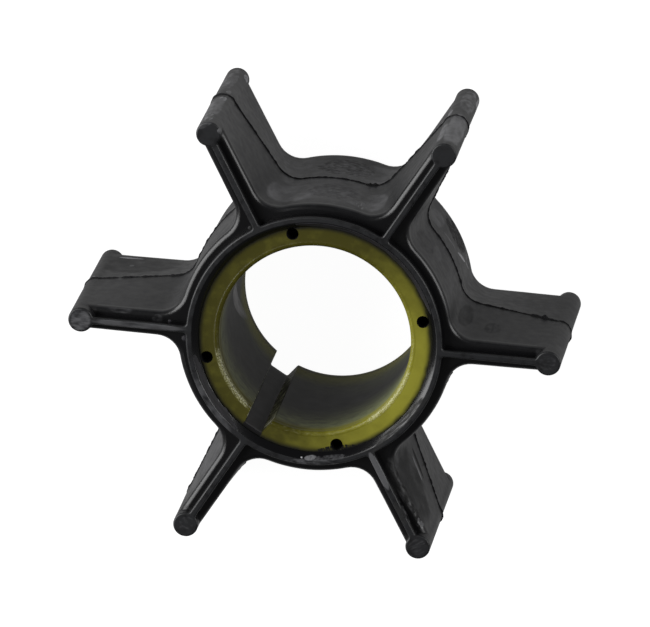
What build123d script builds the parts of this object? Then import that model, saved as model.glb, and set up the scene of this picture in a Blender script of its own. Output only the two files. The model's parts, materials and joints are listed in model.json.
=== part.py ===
from build123d import *
import math
import os

# Flexible impeller of a small raw-water pump: a rubber moulding of six straight
# vanes, vulcanised round a resin bushing that slides on a keyed drive shaft.
# Millimetres. +Z runs along the shaft, and the lower sealing face lies on z = 0.
# The keyway and the vane behind it point along -Y.

# Overall
length = 29.4
vane_count = 6
keyed_vane_angle = -90.0

# Resin bushing, set back from the sealing faces
bore_radius = 12.8
insert_wall = 3.2
insert_face_depth = 1.07
lead_in_width = 0.55
lead_in_depth = 1.2

# Keyway, with the resin left behind its floor
keyway_mouth_width = 3.5
keyway_floor_width = 2.75
keyway_floor_wall = 0.95
keyway_corner_round = 0.3

# Locating-pin holes left by the mould in both end faces of the bushing, against the rubber lip
pin_hole_count = 4
pin_hole_radius = 0.83
pin_hole_depth = 4.0

# Film of bonding agent between rubber and resin
bond_film = 0.05

# Hub sleeve, which stops short of the sealing faces
end_recess = 1.55
hub_wall = 2.4
hub_draft = 0.15
root_fillet = 3.4
end_edge_round = 0.7
end_land_margin = 0.2

# Retaining lip over the bushing's face, and the raised sealing rim outside it
lip_overlap = 0.37
lip_land = 0.15
rim_flare = 0.77
rim_width = 0.8

# Sealing bead on each vane tip, a little proud of the vane
bead_pitch_radius = 31.4
bead_radius = 1.62
bead_step = 0.07

# Vanes, and the ribs that join rim and beads along their ends
vane_end_root_thickness = 3.3
vane_parting_root_thickness = 6.55
rib_width = 0.9
sealing_corner_round = 0.4
sealing_edge_chamfer = 0.2

# Radii and depths that follow from these, from the bore outwards
insert_radius = bore_radius + insert_wall
keyway_floor_radius = insert_radius - keyway_floor_wall
lip_radius = insert_radius - lip_overlap
pin_hole_pitch_radius = lip_radius - pin_hole_radius
rim_mouth_radius = lip_radius + rim_flare
rim_outer_radius = rim_mouth_radius + rim_width
seat_radius = insert_radius + bond_film
hub_end_radius = seat_radius + hub_wall
hub_parting_radius = hub_end_radius + hub_draft
vane_tip_thickness = 2 * (bead_radius - bead_step)
end_land = end_edge_round + end_land_margin

vane_angles = [keyed_vane_angle + i * 360.0 / vane_count for i in range(vane_count)]
pin_hole_angles = [keyed_vane_angle + (i + 0.5) * 360.0 / pin_hole_count for i in range(pin_hole_count)]


def vane_outline(root_thickness, hub_radius):
    """Plan of one vane along +X: a straight taper from the hub's axis to the bead's centre."""
    slope = (root_thickness - vane_tip_thickness) / 2 / (bead_pitch_radius - hub_radius)
    axis_half = vane_tip_thickness / 2 + slope * bead_pitch_radius
    tip_half = vane_tip_thickness / 2
    return Polygon(
        (0, -axis_half),
        (bead_pitch_radius, -tip_half),
        (bead_pitch_radius, tip_half),
        (0, axis_half),
        align=None,
    )


def hub_and_vane_plan(root_thickness, hub_radius):
    """Plan of the hub with its vanes, the roots blended into the hub."""
    plan = Circle(hub_radius)
    for angle in vane_angles:
        plan += Rot(0, 0, angle) * vane_outline(root_thickness, hub_radius)
    tip_reach = (hub_radius + bead_pitch_radius) / 2
    roots = [v for v in plan.vertices() if math.hypot(v.X, v.Y) < tip_reach]
    return fillet(roots, root_fillet)


def end_block(end_plan):
    """Straight land at the lower end of hub and vanes, its outer edge rounded."""
    block = Pos(0, 0, end_recess) * extrude(end_plan, end_land)
    lower_face = block.faces().sort_by(Axis.Z)[0]
    return fillet(lower_face.edges(), end_edge_round)


def vane_band():
    """Hub and vanes, thickest at the parting line half way along and drafted to both ends."""
    end_plan = hub_and_vane_plan(vane_end_root_thickness, hub_end_radius)
    parting_plan = hub_and_vane_plan(vane_parting_root_thickness, hub_parting_radius)
    land_top = Pos(0, 0, end_recess + end_land) * end_plan
    parting = Pos(0, 0, length / 2) * parting_plan
    lower_half = end_block(end_plan) + loft([land_top, parting], ruled=True)
    return lower_half + mirror(lower_half, Plane.XY.offset(length / 2))


def sealing_column():
    """Rim, ribs and beads, which run the full length and seal against the pump's end plates."""
    plan = Circle(rim_outer_radius)
    for angle in vane_angles:
        rib = Pos(bead_pitch_radius / 2, 0) * Rectangle(bead_pitch_radius, rib_width)
        bead = Pos(bead_pitch_radius, 0) * Circle(bead_radius)
        plan += Rot(0, 0, angle) * (rib + bead)
    plan = fillet(plan.vertices(), sealing_corner_round)
    column = extrude(plan, length)
    end_faces = column.faces().filter_by(Axis.Z)
    return chamfer(end_faces.edges(), sealing_edge_chamfer)


def insert_seat():
    """Cavity that the bushing fills, with a retaining lip and a flared mouth at each end."""
    lip_depth = insert_face_depth - bond_film
    half_profile = Polygon(
        (0, 0),
        (rim_mouth_radius, 0),
        (lip_radius, lip_depth - lip_land),
        (lip_radius, lip_depth),
        (seat_radius, lip_depth),
        (seat_radius, length - lip_depth),
        (lip_radius, length - lip_depth),
        (lip_radius, length - lip_depth + lip_land),
        (rim_mouth_radius, length),
        (0, length),
        align=None,
    )
    return revolve(Plane.XZ * half_profile, Axis.Z)


def make_rubber_body():
    """The whole rubber moulding."""
    return vane_band() + sealing_column() - insert_seat()


def insert_blank():
    """Turned form of the bushing, with a lead-in at each end of the bore."""
    low = insert_face_depth
    high = length - insert_face_depth
    mouth_radius = bore_radius + lead_in_width
    profile = Polygon(
        (mouth_radius, low),
        (insert_radius, low),
        (insert_radius, high),
        (mouth_radius, high),
        (bore_radius, high - lead_in_depth),
        (bore_radius, low + lead_in_depth),
        align=None,
    )
    return revolve(Plane.XZ * profile, Axis.Z)


def keyway():
    """Full-length keyway, narrower at its floor so that it draws from the mould."""
    taper = (keyway_mouth_width - keyway_floor_width) / 2 / (keyway_floor_radius - bore_radius)
    axis_half = keyway_floor_width / 2 + taper * keyway_floor_radius
    plan = Polygon(
        (0, -axis_half),
        (keyway_floor_radius, -keyway_floor_width / 2),
        (keyway_floor_radius, keyway_floor_width / 2),
        (0, axis_half),
        align=None,
    )
    floor_corners = plan.vertices().group_by(Axis.X)[-1]
    plan = fillet(floor_corners, keyway_corner_round)
    return Rot(0, 0, keyed_vane_angle) * extrude(plan, length)


def pin_holes():
    """Blind round holes in both end faces, with the keyway half way between two of them."""
    hole = Pos(pin_hole_pitch_radius, 0, 0) * Cylinder(
        pin_hole_radius, pin_hole_depth, align=(Align.CENTER, Align.CENTER, Align.MIN)
    )
    low = insert_face_depth
    high = length - insert_face_depth - pin_hole_depth
    return [Pos(0, 0, z) * Rot(0, 0, angle) * hole for z in (low, high) for angle in pin_hole_angles]


def make_hub_insert():
    """The resin bushing."""
    return insert_blank() - keyway() - pin_holes()


def write_node(name, shape):
    shape.label = name
    export_step(shape, f"parts/{name}.step")


os.makedirs("parts", exist_ok=True)
write_node("rubber_body", make_rubber_body())
write_node("hub_insert", make_hub_insert())
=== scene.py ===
"""Looks of a flexible pump impeller: black moulded rubber vanes round an olive resin bushing.

Lengths are millimetres in the classes below and metres in Blender. +Z is the shaft axis,
and the keyway with the vane behind it points along -Y.
"""

import json
import logging
import math
from dataclasses import dataclass, field
from enum import Enum
from functools import cache

import bmesh
import bpy
import numpy as np
from mathutils import Matrix, Vector, noise


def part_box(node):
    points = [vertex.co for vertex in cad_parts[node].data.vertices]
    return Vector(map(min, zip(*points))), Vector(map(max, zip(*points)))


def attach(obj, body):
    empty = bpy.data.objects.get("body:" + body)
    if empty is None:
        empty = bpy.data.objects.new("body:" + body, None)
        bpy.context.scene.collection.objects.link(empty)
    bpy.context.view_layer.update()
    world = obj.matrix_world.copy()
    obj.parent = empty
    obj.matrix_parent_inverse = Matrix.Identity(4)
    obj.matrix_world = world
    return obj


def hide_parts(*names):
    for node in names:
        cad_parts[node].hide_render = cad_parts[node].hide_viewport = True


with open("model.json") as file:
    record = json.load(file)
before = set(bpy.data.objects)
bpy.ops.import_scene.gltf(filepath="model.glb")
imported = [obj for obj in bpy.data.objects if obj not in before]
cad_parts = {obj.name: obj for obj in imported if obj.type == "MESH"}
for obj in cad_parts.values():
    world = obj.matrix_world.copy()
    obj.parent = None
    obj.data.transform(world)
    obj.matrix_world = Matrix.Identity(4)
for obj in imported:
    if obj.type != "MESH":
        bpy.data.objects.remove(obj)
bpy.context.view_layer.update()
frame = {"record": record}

Tree = bpy.types.NodeTree
Node = bpy.types.Node
Socket = bpy.types.NodeSocket
Outputs = bpy.types.NodeOutputs
Object = bpy.types.Object
Material = bpy.types.Material

MM = 0.001
BODY = "root"
BOND_FILM = 0.05
MERGE_DISTANCE = 0.002 * MM
SHARP_ANGLE = math.radians(32)

# Points along the stretches of the rubber's two plans; the rib's make both plans equally long
HUB_POINTS = 9
ROOT_POINTS = 9
FLANK_POINTS = 22
BEAD_POINTS = 16
RIM_POINTS = 11
CORNER_POINTS = 5
INNER_BEAD_POINTS = 4
RIB_POINTS = HUB_POINTS + ROOT_POINTS + FLANK_POINTS - RIM_POINTS - 2 * CORNER_POINTS - INNER_BEAD_POINTS

# Rows from an end's land to the parting line, and points of the other rounds
RULED_ROWS = 11
MOUTH_POINTS = 25
BORE_POINTS = 71
WALL_POINTS = 5
LEAD_IN_POINTS = 6
PIN_POINTS = 40
FLOOR_POINTS = 2
FILM_POINTS = 6

# Kinds of node and settings that come back in most trees
MATH = "ShaderNodeMath"
VECTOR_MATH = "ShaderNodeVectorMath"
MIX = "ShaderNodeMix"
RANGE = "ShaderNodeMapRange"
NOISE = "ShaderNodeTexNoise"
SMOOTH = {"interpolation_type": "SMOOTHSTEP"}
RGBA = {"data_type": "RGBA"}

# Levels of noise: its middle, and those between which the flash comes to its full height
MID_NOISE = 0.5
NICK_LEVELS = (0.35, 0.65)

# Share of a wear mark's reach, from its rim inwards, over which it is ragged
MARK_FRINGE = 0.5

log = logging.getLogger("impeller")


class Slot(Enum):
    """Material slots of the record, which the log names for each piece."""

    RUBBER = "vane_rubber"
    RESIN = "insert_resin"


class End(Enum):
    """The two ends of the impeller, as the sense in which depth runs from each."""

    LOWER = 1
    UPPER = -1

    def height(self, low: float, high: float, depth: float) -> float:
        """Height at a depth below this end of what reaches from low to high."""
        return low + depth if self is End.LOWER else high - depth


def linear(hex_colour: str) -> tuple[float, float, float, float]:
    """Turns an sRGB hex colour into Blender's linear RGBA.

    Args:
        hex_colour: Colour such as "#1c1c1f".

    Returns:
        Linear red, green, blue and an alpha of 1.
    """
    channels = [int(hex_colour[i : i + 2], 16) / 255 for i in (1, 3, 5)]
    toe, toe_slope, offset, gamma = 0.04045, 12.92, 0.055, 2.4
    values = [c / toe_slope if c <= toe else ((c + offset) / (1 + offset)) ** gamma for c in channels]
    return (values[0], values[1], values[2], 1.0)


def per_size(size: float) -> float:
    """Noise scale whose features are about this many millimetres wide."""
    return 1 / (size * MM)


def metres(sizes: tuple[float, ...]) -> tuple[float, ...]:
    """Turns sizes in millimetres into metres."""
    return tuple(size * MM for size in sizes)


def add_node(tree: Tree, kind: str, *inputs: object, **settings: object) -> Node:
    """Adds a node to a tree with its settings and links.

    Args:
        tree: Shader or geometry node tree.
        kind: Node type name.
        inputs: Values of the inputs in use, in their order, or one dictionary of values by name.
            A socket is linked, a node by its first output in use, and any other value is set.
        settings: Properties of the node itself.

    Returns:
        The new node.
    """
    node = tree.nodes.new(kind)
    for name, value in settings.items():
        setattr(node, name, value)
    if inputs and isinstance(inputs[0], dict):
        pairs = [(node.inputs[name], value) for name, value in inputs[0].items()]
    else:
        in_use = [socket for socket in node.inputs if socket.enabled]
        pairs = zip(in_use[: len(inputs)], inputs, strict=True)
    for socket, value in pairs:
        if isinstance(value, Node):
            value = next(output for output in value.outputs if output.enabled)
        if isinstance(value, Socket):
            tree.links.new(value, socket)
        else:
            socket.default_value = value
    return node


def new_material(name: str) -> tuple[Material, Tree]:
    """Makes a node material that is still empty.

    Args:
        name: Name of the material.

    Returns:
        The material and its tree.
    """
    material = bpy.data.materials.new(name)
    material.use_nodes = True
    material.node_tree.nodes.clear()
    return material, material.node_tree


def speckle(
    tree: Tree, place: Socket, size: float | tuple[float, float, float], detail: float = 3.0
) -> Node:
    """Adds noise whose features have a size in millimetres.

    Args:
        tree: Tree of a material.
        place: Place on the object.
        size: Size of a feature, the same all round or one for each axis.
        detail: Number of finer layers.

    Returns:
        The noise.
    """
    sizes = size if isinstance(size, tuple) else (size, size, size)
    scaled = add_node(
        tree, "ShaderNodeMapping", {"Vector": place, "Scale": metres(sizes)}, vector_type="TEXTURE"
    )
    return add_node(tree, NOISE, {"Vector": scaled, "Scale": 1.0, "Detail": detail})


def blend_values(tree: Tree, share: Node, first: Node | float, second: Node | float) -> Node:
    """Adds a passage between two values.

    Args:
        tree: Tree of a material.
        share: Share of the second value.
        first: Value where the share is 0.
        second: Value where the share is 1.

    Returns:
        The value in between.
    """
    change = add_node(tree, MATH, second, first, operation="SUBTRACT")
    return add_node(tree, MATH, change, share, first, operation="MULTIPLY_ADD")


def shaft_distance(tree: Tree, place: Socket) -> Node:
    """Adds the distance of a place from the shaft axis, in metres."""
    flat = add_node(tree, VECTOR_MATH, place, (1.0, 1.0, 0.0), operation="MULTIPLY")
    return add_node(tree, VECTOR_MATH, flat, operation="LENGTH")


def end_depth(tree: Tree, place: Socket, length: float) -> Node:
    """Adds the depth of a place below the nearer sealing face.

    Args:
        tree: Tree of a material.
        place: Place on the object.
        length: Height of the upper sealing face, with the lower one at zero.

    Returns:
        The depth in metres.
    """
    height = add_node(tree, "ShaderNodeSeparateXYZ", place).outputs["Z"]
    middle = length / 2 * MM
    above = add_node(tree, MATH, height, middle, operation="SUBTRACT")
    off_middle = add_node(tree, MATH, above, operation="ABSOLUTE")
    return add_node(tree, MATH, middle, off_middle, operation="SUBTRACT")


def arc(centre: tuple[float, float], radius: float, start: float, stop: float, count: int) -> np.ndarray:
    """Points along an arc, both ends included.

    Args:
        centre: Centre in the plan.
        radius: Radius.
        start: First angle in radians.
        stop: Last angle in radians.
        count: Number of points.

    Returns:
        Array of count plan points.
    """
    angles = np.linspace(start, stop, count)
    return np.stack([centre[0] + radius * np.cos(angles), centre[1] + radius * np.sin(angles)], 1)


def straight(start: np.ndarray, stop: np.ndarray, count: int) -> np.ndarray:
    """Points along a line, without its two ends.

    Args:
        start: First end.
        stop: Last end.
        count: Number of points between the ends.

    Returns:
        Array of count plan points.
    """
    shares = np.linspace(0, 1, count + 2)[1:-1, None]
    return start + (stop - start) * shares


def blend_centre(circle: float, height: float, slope: float, blend: float) -> tuple[float, float]:
    """Centre of the round that joins a circle about the axis to the line y = height - slope x.

    Args:
        circle: Radius of the circle.
        height: Height of the line at the axis.
        slope: Fall of the line for each unit of x.
        blend: Radius of the round.

    Returns:
        Plan point, outside the circle and above the line.
    """
    stretch = math.hypot(1, slope)
    raised, reach = height + blend * stretch, circle + blend
    root = math.sqrt((raised * slope) ** 2 - stretch**2 * (raised**2 - reach**2))
    x = (raised * slope + root) / stretch**2
    return x, raised - slope * x


def level(outline: np.ndarray, z: float) -> np.ndarray:
    """Lifts a plan outline to a height."""
    return np.column_stack([outline, np.full(len(outline), z)])


def turned(outline: np.ndarray, angle: float) -> np.ndarray:
    """Turns a plan outline about the shaft axis by an angle in radians."""
    spin = np.array([[math.cos(angle), math.sin(angle)], [-math.sin(angle), math.cos(angle)]])
    return outline @ spin


def add_object(name: str, data: bpy.types.ID) -> Object:
    """Adds an object to the scene.

    Args:
        name: Name of the object.
        data: Its mesh, light or camera.

    Returns:
        The object, at the origin.
    """
    made = bpy.data.objects.new(name, data)
    bpy.context.scene.collection.objects.link(made)
    return made


@dataclass
class MeshSheet:
    """Vertices and faces of a mesh that is built row by row."""

    points: list[np.ndarray] = field(default_factory=list)
    faces: list[list[int]] = field(default_factory=list)

    def add_row(self, row: np.ndarray) -> list[int]:
        """Adds the points of a row.

        Args:
            row: Array of 3-D points.

        Returns:
            Their numbers in the mesh.
        """
        first = sum(len(p) for p in self.points)
        self.points.append(row)
        return list(range(first, first + len(row)))

    def join(self, rows: list[np.ndarray], closed: bool = False) -> list[list[int]]:
        """Joins rows of equal length with quads.

        Args:
            rows: Rows of 3-D points, in order.
            closed: Whether each row closes on itself.

        Returns:
            The point numbers of each row.
        """
        numbers = [self.add_row(row) for row in rows]
        for low, high in zip(numbers, numbers[1:]):
            count = len(low)
            for i in range(count if closed else count - 1):
                j = (i + 1) % count
                self.faces.append([low[i], low[j], high[j], high[i]])
        return numbers

    def cap(self, first: list[int], last: list[int]) -> None:
        """Closes both ends of joined rows, given by their point numbers."""
        self.faces.append(first[::-1])
        self.faces.append(last)

    def to_object(self, name: str) -> Object:
        """Makes an object of the mesh, in metres.

        Args:
            name: Name of the object and its mesh.

        Returns:
            The object.
        """
        mesh = bpy.data.meshes.new(name)
        mesh.from_pydata((np.concatenate(self.points) * MM).tolist(), [], self.faces)
        return add_object(name, mesh)


def close_and_smooth(mesh: bpy.types.Mesh) -> None:
    """Merges doubles, drops empty faces, points normals outwards and smooths all but sharp edges.

    Args:
        mesh: Mesh to finish in place.
    """
    sheet = bmesh.new()
    sheet.from_mesh(mesh)
    bmesh.ops.remove_doubles(sheet, verts=sheet.verts, dist=MERGE_DISTANCE)
    bmesh.ops.dissolve_degenerate(sheet, edges=sheet.edges, dist=MERGE_DISTANCE)
    bmesh.ops.recalc_face_normals(sheet, faces=sheet.faces)
    sheet.to_mesh(mesh)
    sheet.free()
    mesh.shade_smooth()
    mesh.set_sharp_from_angle(angle=SHARP_ANGLE)


def bake_modifiers(made: Object) -> Object:
    """Turns an object's evaluated modifiers into a plain closed mesh and removes them.

    Args:
        made: Object with live modifiers.

    Returns:
        The same object.
    """
    bpy.context.view_layer.update()
    evaluated = made.evaluated_get(bpy.context.evaluated_depsgraph_get())
    plain = bpy.data.meshes.new_from_object(evaluated)
    plain.name = made.name
    made.modifiers.clear()
    made.data = plain
    close_and_smooth(plain)
    return made


def run_tree(made: Object, tree: Tree, values: dict[str, object]) -> Object:
    """Runs a geometry node tree on an object and keeps the result as a plain mesh.

    Args:
        made: Object that the tree starts from.
        tree: Tree with named inputs.
        values: Value of each input, set by its socket's identifier.

    Returns:
        The same object.
    """
    modifier = made.modifiers.new(tree.name, "NODES")
    modifier.node_group = tree
    sockets = {item.name: item.identifier for item in tree.interface.items_tree}
    for name, value in values.items():
        modifier[sockets[name]] = value
    return bake_modifiers(made)


def new_geometry_tree(name: str, inputs: dict[str, tuple[str, object]]) -> tuple[Tree, Outputs]:
    """Starts a geometry node tree with named inputs.

    Args:
        name: Name of the tree.
        inputs: Socket type and default value of each input after the geometry.

    Returns:
        The tree and the sockets that give its inputs.
    """
    tree = bpy.data.node_groups.new(name, "GeometryNodeTree")
    tree.interface.new_socket("Geometry", in_out="INPUT", socket_type="NodeSocketGeometry")
    for label, (kind, value) in inputs.items():
        socket = tree.interface.new_socket(label, in_out="INPUT", socket_type=kind)
        if value is not None:
            socket.default_value = value
    tree.interface.new_socket("Geometry", in_out="OUTPUT", socket_type="NodeSocketGeometry")
    return tree, add_node(tree, "NodeGroupInput").outputs


def ring_tree() -> Tree:
    """Geometry nodes that repeat a sector round the shaft axis and give its skin a slight unevenness.

    Returns:
        The tree. Its inputs are the number of copies, the first angle, the height of the
        unevenness, the scale of its patches, and the material.
    """
    tree, given = new_geometry_tree(
        "ring_of_sectors",
        {
            "Count": ("NodeSocketInt", 6),
            "Start Angle": ("NodeSocketFloat", 0.0),
            "Unevenness": ("NodeSocketFloat", 0.0),
            "Patch Scale": ("NodeSocketFloat", 100.0),
            "Material": ("NodeSocketMaterial", None),
        },
    )
    points = add_node(tree, "GeometryNodePoints", {"Count": given["Count"]})
    index = add_node(tree, "GeometryNodeInputIndex")
    step = add_node(tree, MATH, math.tau, given["Count"], operation="DIVIDE")
    turn = add_node(tree, MATH, index, step, given["Start Angle"], operation="MULTIPLY_ADD")
    euler = add_node(tree, "ShaderNodeCombineXYZ", {"Z": turn})
    rotation = add_node(tree, "FunctionNodeEulerToRotation", euler)
    copies = add_node(
        tree,
        "GeometryNodeInstanceOnPoints",
        {"Points": points, "Instance": given["Geometry"], "Rotation": rotation},
    )
    real = add_node(tree, "GeometryNodeRealizeInstances", {"Geometry": copies})
    merged = add_node(tree, "GeometryNodeMergeByDistance", {"Geometry": real, "Distance": MERGE_DISTANCE})
    patches = add_node(tree, NOISE, {"Scale": given["Patch Scale"], "Detail": 1.0})
    centred = add_node(tree, MATH, patches, MID_NOISE, operation="SUBTRACT")
    height = add_node(tree, MATH, centred, given["Unevenness"], operation="MULTIPLY")
    normal = add_node(tree, "GeometryNodeInputNormal")
    outwards = add_node(tree, VECTOR_MATH, normal, (1.0, 1.0, 0.0), operation="MULTIPLY")
    offset = add_node(tree, VECTOR_MATH, outwards, height, operation="SCALE")
    moved = add_node(tree, "GeometryNodeSetPosition", {"Geometry": merged, "Offset": offset})
    dressed = add_node(tree, "GeometryNodeSetMaterial", {"Geometry": moved, "Material": given["Material"]})
    add_node(tree, "NodeGroupOutput", {"Geometry": dressed})
    return tree


def flash_tree() -> Tree:
    """Geometry nodes that sweep a fin of uneven height along a line of points.

    Returns:
        The tree. Its inputs are the fin's height and thickness, how far it goes into the rubber
        as a share of its height, its least and greatest growth at the nicks, their scale and the
        material. The points carry an attribute, growth, that makes the fin taller or breaks it.
    """
    tree, given = new_geometry_tree(
        "flash_fin",
        {
            "Height": ("NodeSocketFloat", 0.0002),
            "Thickness": ("NodeSocketFloat", 0.0001),
            "Rooted Share": ("NodeSocketFloat", 0.5),
            "Least Growth": ("NodeSocketFloat", 0.5),
            "Most Growth": ("NodeSocketFloat", 1.5),
            "Nick Scale": ("NodeSocketFloat", 1000.0),
            "Material": ("NodeSocketMaterial", None),
        },
    )
    curve = add_node(tree, "GeometryNodeMeshToCurve", {"Mesh": given["Geometry"]})
    upright = add_node(tree, "GeometryNodeSetCurveNormal", {"Curve": curve}, mode="Z_UP")
    growth = add_node(tree, "GeometryNodeInputNamedAttribute", {"Name": "growth"}, data_type="FLOAT")
    nicks = add_node(tree, NOISE, {"Scale": given["Nick Scale"], "Detail": 3.0})
    uneven = add_node(tree, RANGE, nicks, *NICK_LEVELS, given["Least Growth"], given["Most Growth"])
    width = add_node(tree, MATH, uneven, growth, operation="MULTIPLY")
    sized = add_node(tree, "GeometryNodeSetCurveRadius", {"Curve": upright, "Radius": width})
    rooted = add_node(tree, MATH, given["Height"], given["Rooted Share"], operation="MULTIPLY")
    root = add_node(tree, MATH, rooted, -1.0, operation="MULTIPLY")
    above = add_node(tree, MATH, given["Thickness"], 2.0, operation="DIVIDE")
    below = add_node(tree, MATH, above, -1.0, operation="MULTIPLY")
    corners = [(root, above), (root, below), (given["Height"], below), (given["Height"], above)]
    profile = add_node(
        tree,
        "GeometryNodeCurvePrimitiveQuadrilateral",
        {f"Point {i + 1}": add_node(tree, "ShaderNodeCombineXYZ", x, y) for i, (x, y) in enumerate(corners)},
        mode="POINTS",
    )
    fin = add_node(tree, "GeometryNodeCurveToMesh", {"Curve": sized, "Profile Curve": profile, "Scale": width})
    real = add_node(tree, "GeometryNodeRealizeInstances", {"Geometry": fin})
    dressed = add_node(tree, "GeometryNodeSetMaterial", {"Geometry": real, "Material": given["Material"]})
    add_node(tree, "NodeGroupOutput", {"Geometry": dressed})
    return tree


# Marks of wear, dirt and rough skin, also used for painted highlights, sheens and glints
@dataclass(frozen=True)
class WearAndPaintedLightMark:
    """A patch of strokes, placed round the shaft. Its sizes run outwards, round and along the shaft.

    Attributes:
        angle: Direction of its centre from the shaft axis, in degrees.
        radius: Distance of its centre from the shaft axis.
        height: Height of its centre.
        extent: Half sizes of the patch.
        stroke: Sizes of one stroke.
        tilt: Turn of patch and strokes about the outward direction, in degrees.
        bare: Level that the strokes have to pass to show, so that more stays bare.
        strength: Share of the mark's colour in a full stroke.
        softness: Range of levels over which a stroke comes up to its full share.
    """

    angle: float
    radius: float
    height: float
    extent: tuple[float, float, float]
    stroke: tuple[float, float, float]
    tilt: float = 0.0
    bare: float = 0.45
    strength: float = 1.0
    softness: float = 0.12

    def add_to(self, tree: Tree, place: Socket) -> Node:
        """Adds the mark to a material.

        Args:
            tree: Tree of the material.
            place: Place on the object.

        Returns:
            The mark's share.
        """
        turn = math.radians(self.angle)
        centre = (self.radius * math.cos(turn), self.radius * math.sin(turn), self.height)
        values = {
            "Place": place,
            "Centre": metres(centre),
            "Turn": (math.radians(self.tilt), 0.0, turn),
            "Extent": metres(self.extent),
            "Stroke": metres(self.stroke),
            "Bare": self.bare,
            "Strength": self.strength,
            "Softness": self.softness,
        }
        return add_node(tree, "ShaderNodeGroup", values, node_tree=wear_and_painted_light_group())


@cache
def wear_and_painted_light_group() -> Tree:
    """Shader group for one patch of strokes, ragged over the outer half of its reach.

    Returns:
        The group. Its inputs are those of WearAndPaintedLightMark.
    """
    tree = bpy.data.node_groups.new("wear_and_painted_light_mark", "ShaderNodeTree")
    for label in ("Place", "Centre", "Turn", "Extent", "Stroke"):
        tree.interface.new_socket(label, in_out="INPUT", socket_type="NodeSocketVector")
    for label in ("Bare", "Strength", "Softness"):
        tree.interface.new_socket(label, in_out="INPUT", socket_type="NodeSocketFloat")
    tree.interface.new_socket("Share", in_out="OUTPUT", socket_type="NodeSocketFloat")
    given = add_node(tree, "NodeGroupInput").outputs
    turned_place = {"Vector": given["Place"], "Rotation": given["Turn"]}
    patch = add_node(
        tree,
        "ShaderNodeMapping",
        turned_place | {"Location": given["Centre"], "Scale": given["Extent"]},
        vector_type="TEXTURE",
    )
    ball = add_node(tree, "ShaderNodeTexGradient", patch, gradient_type="SPHERICAL")
    within = ball.outputs["Fac"]
    drawn = add_node(
        tree, "ShaderNodeMapping", turned_place | {"Scale": given["Stroke"]}, vector_type="TEXTURE"
    )
    strokes = add_node(tree, NOISE, {"Vector": drawn, "Scale": 1.0, "Detail": 3.0})
    fringe = add_node(tree, RANGE, within, 0.0, MARK_FRINGE, 1.0, 0.0, **SMOOTH)
    over = add_node(tree, MATH, strokes, given["Bare"], operation="SUBTRACT")
    ragged = add_node(tree, MATH, over, fringe, operation="SUBTRACT")
    full = add_node(tree, RANGE, ragged, 0.0, given["Softness"], **SMOOTH)
    share = add_node(tree, MATH, full, given["Strength"], operation="MULTIPLY")
    add_node(tree, "NodeGroupOutput", {"Share": share})
    return tree


def strongest(tree: Tree, place: Socket, marks: tuple[WearAndPaintedLightMark, ...]) -> Node:
    """Adds marks to a material.

    Args:
        tree: Tree of the material.
        place: Place on the object.
        marks: The marks.

    Returns:
        The largest share that any of them has at a place.
    """
    most = marks[0].add_to(tree, place)
    for mark in marks[1:]:
        most = add_node(tree, MATH, most, mark.add_to(tree, place), operation="MAXIMUM")
    return most
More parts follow.
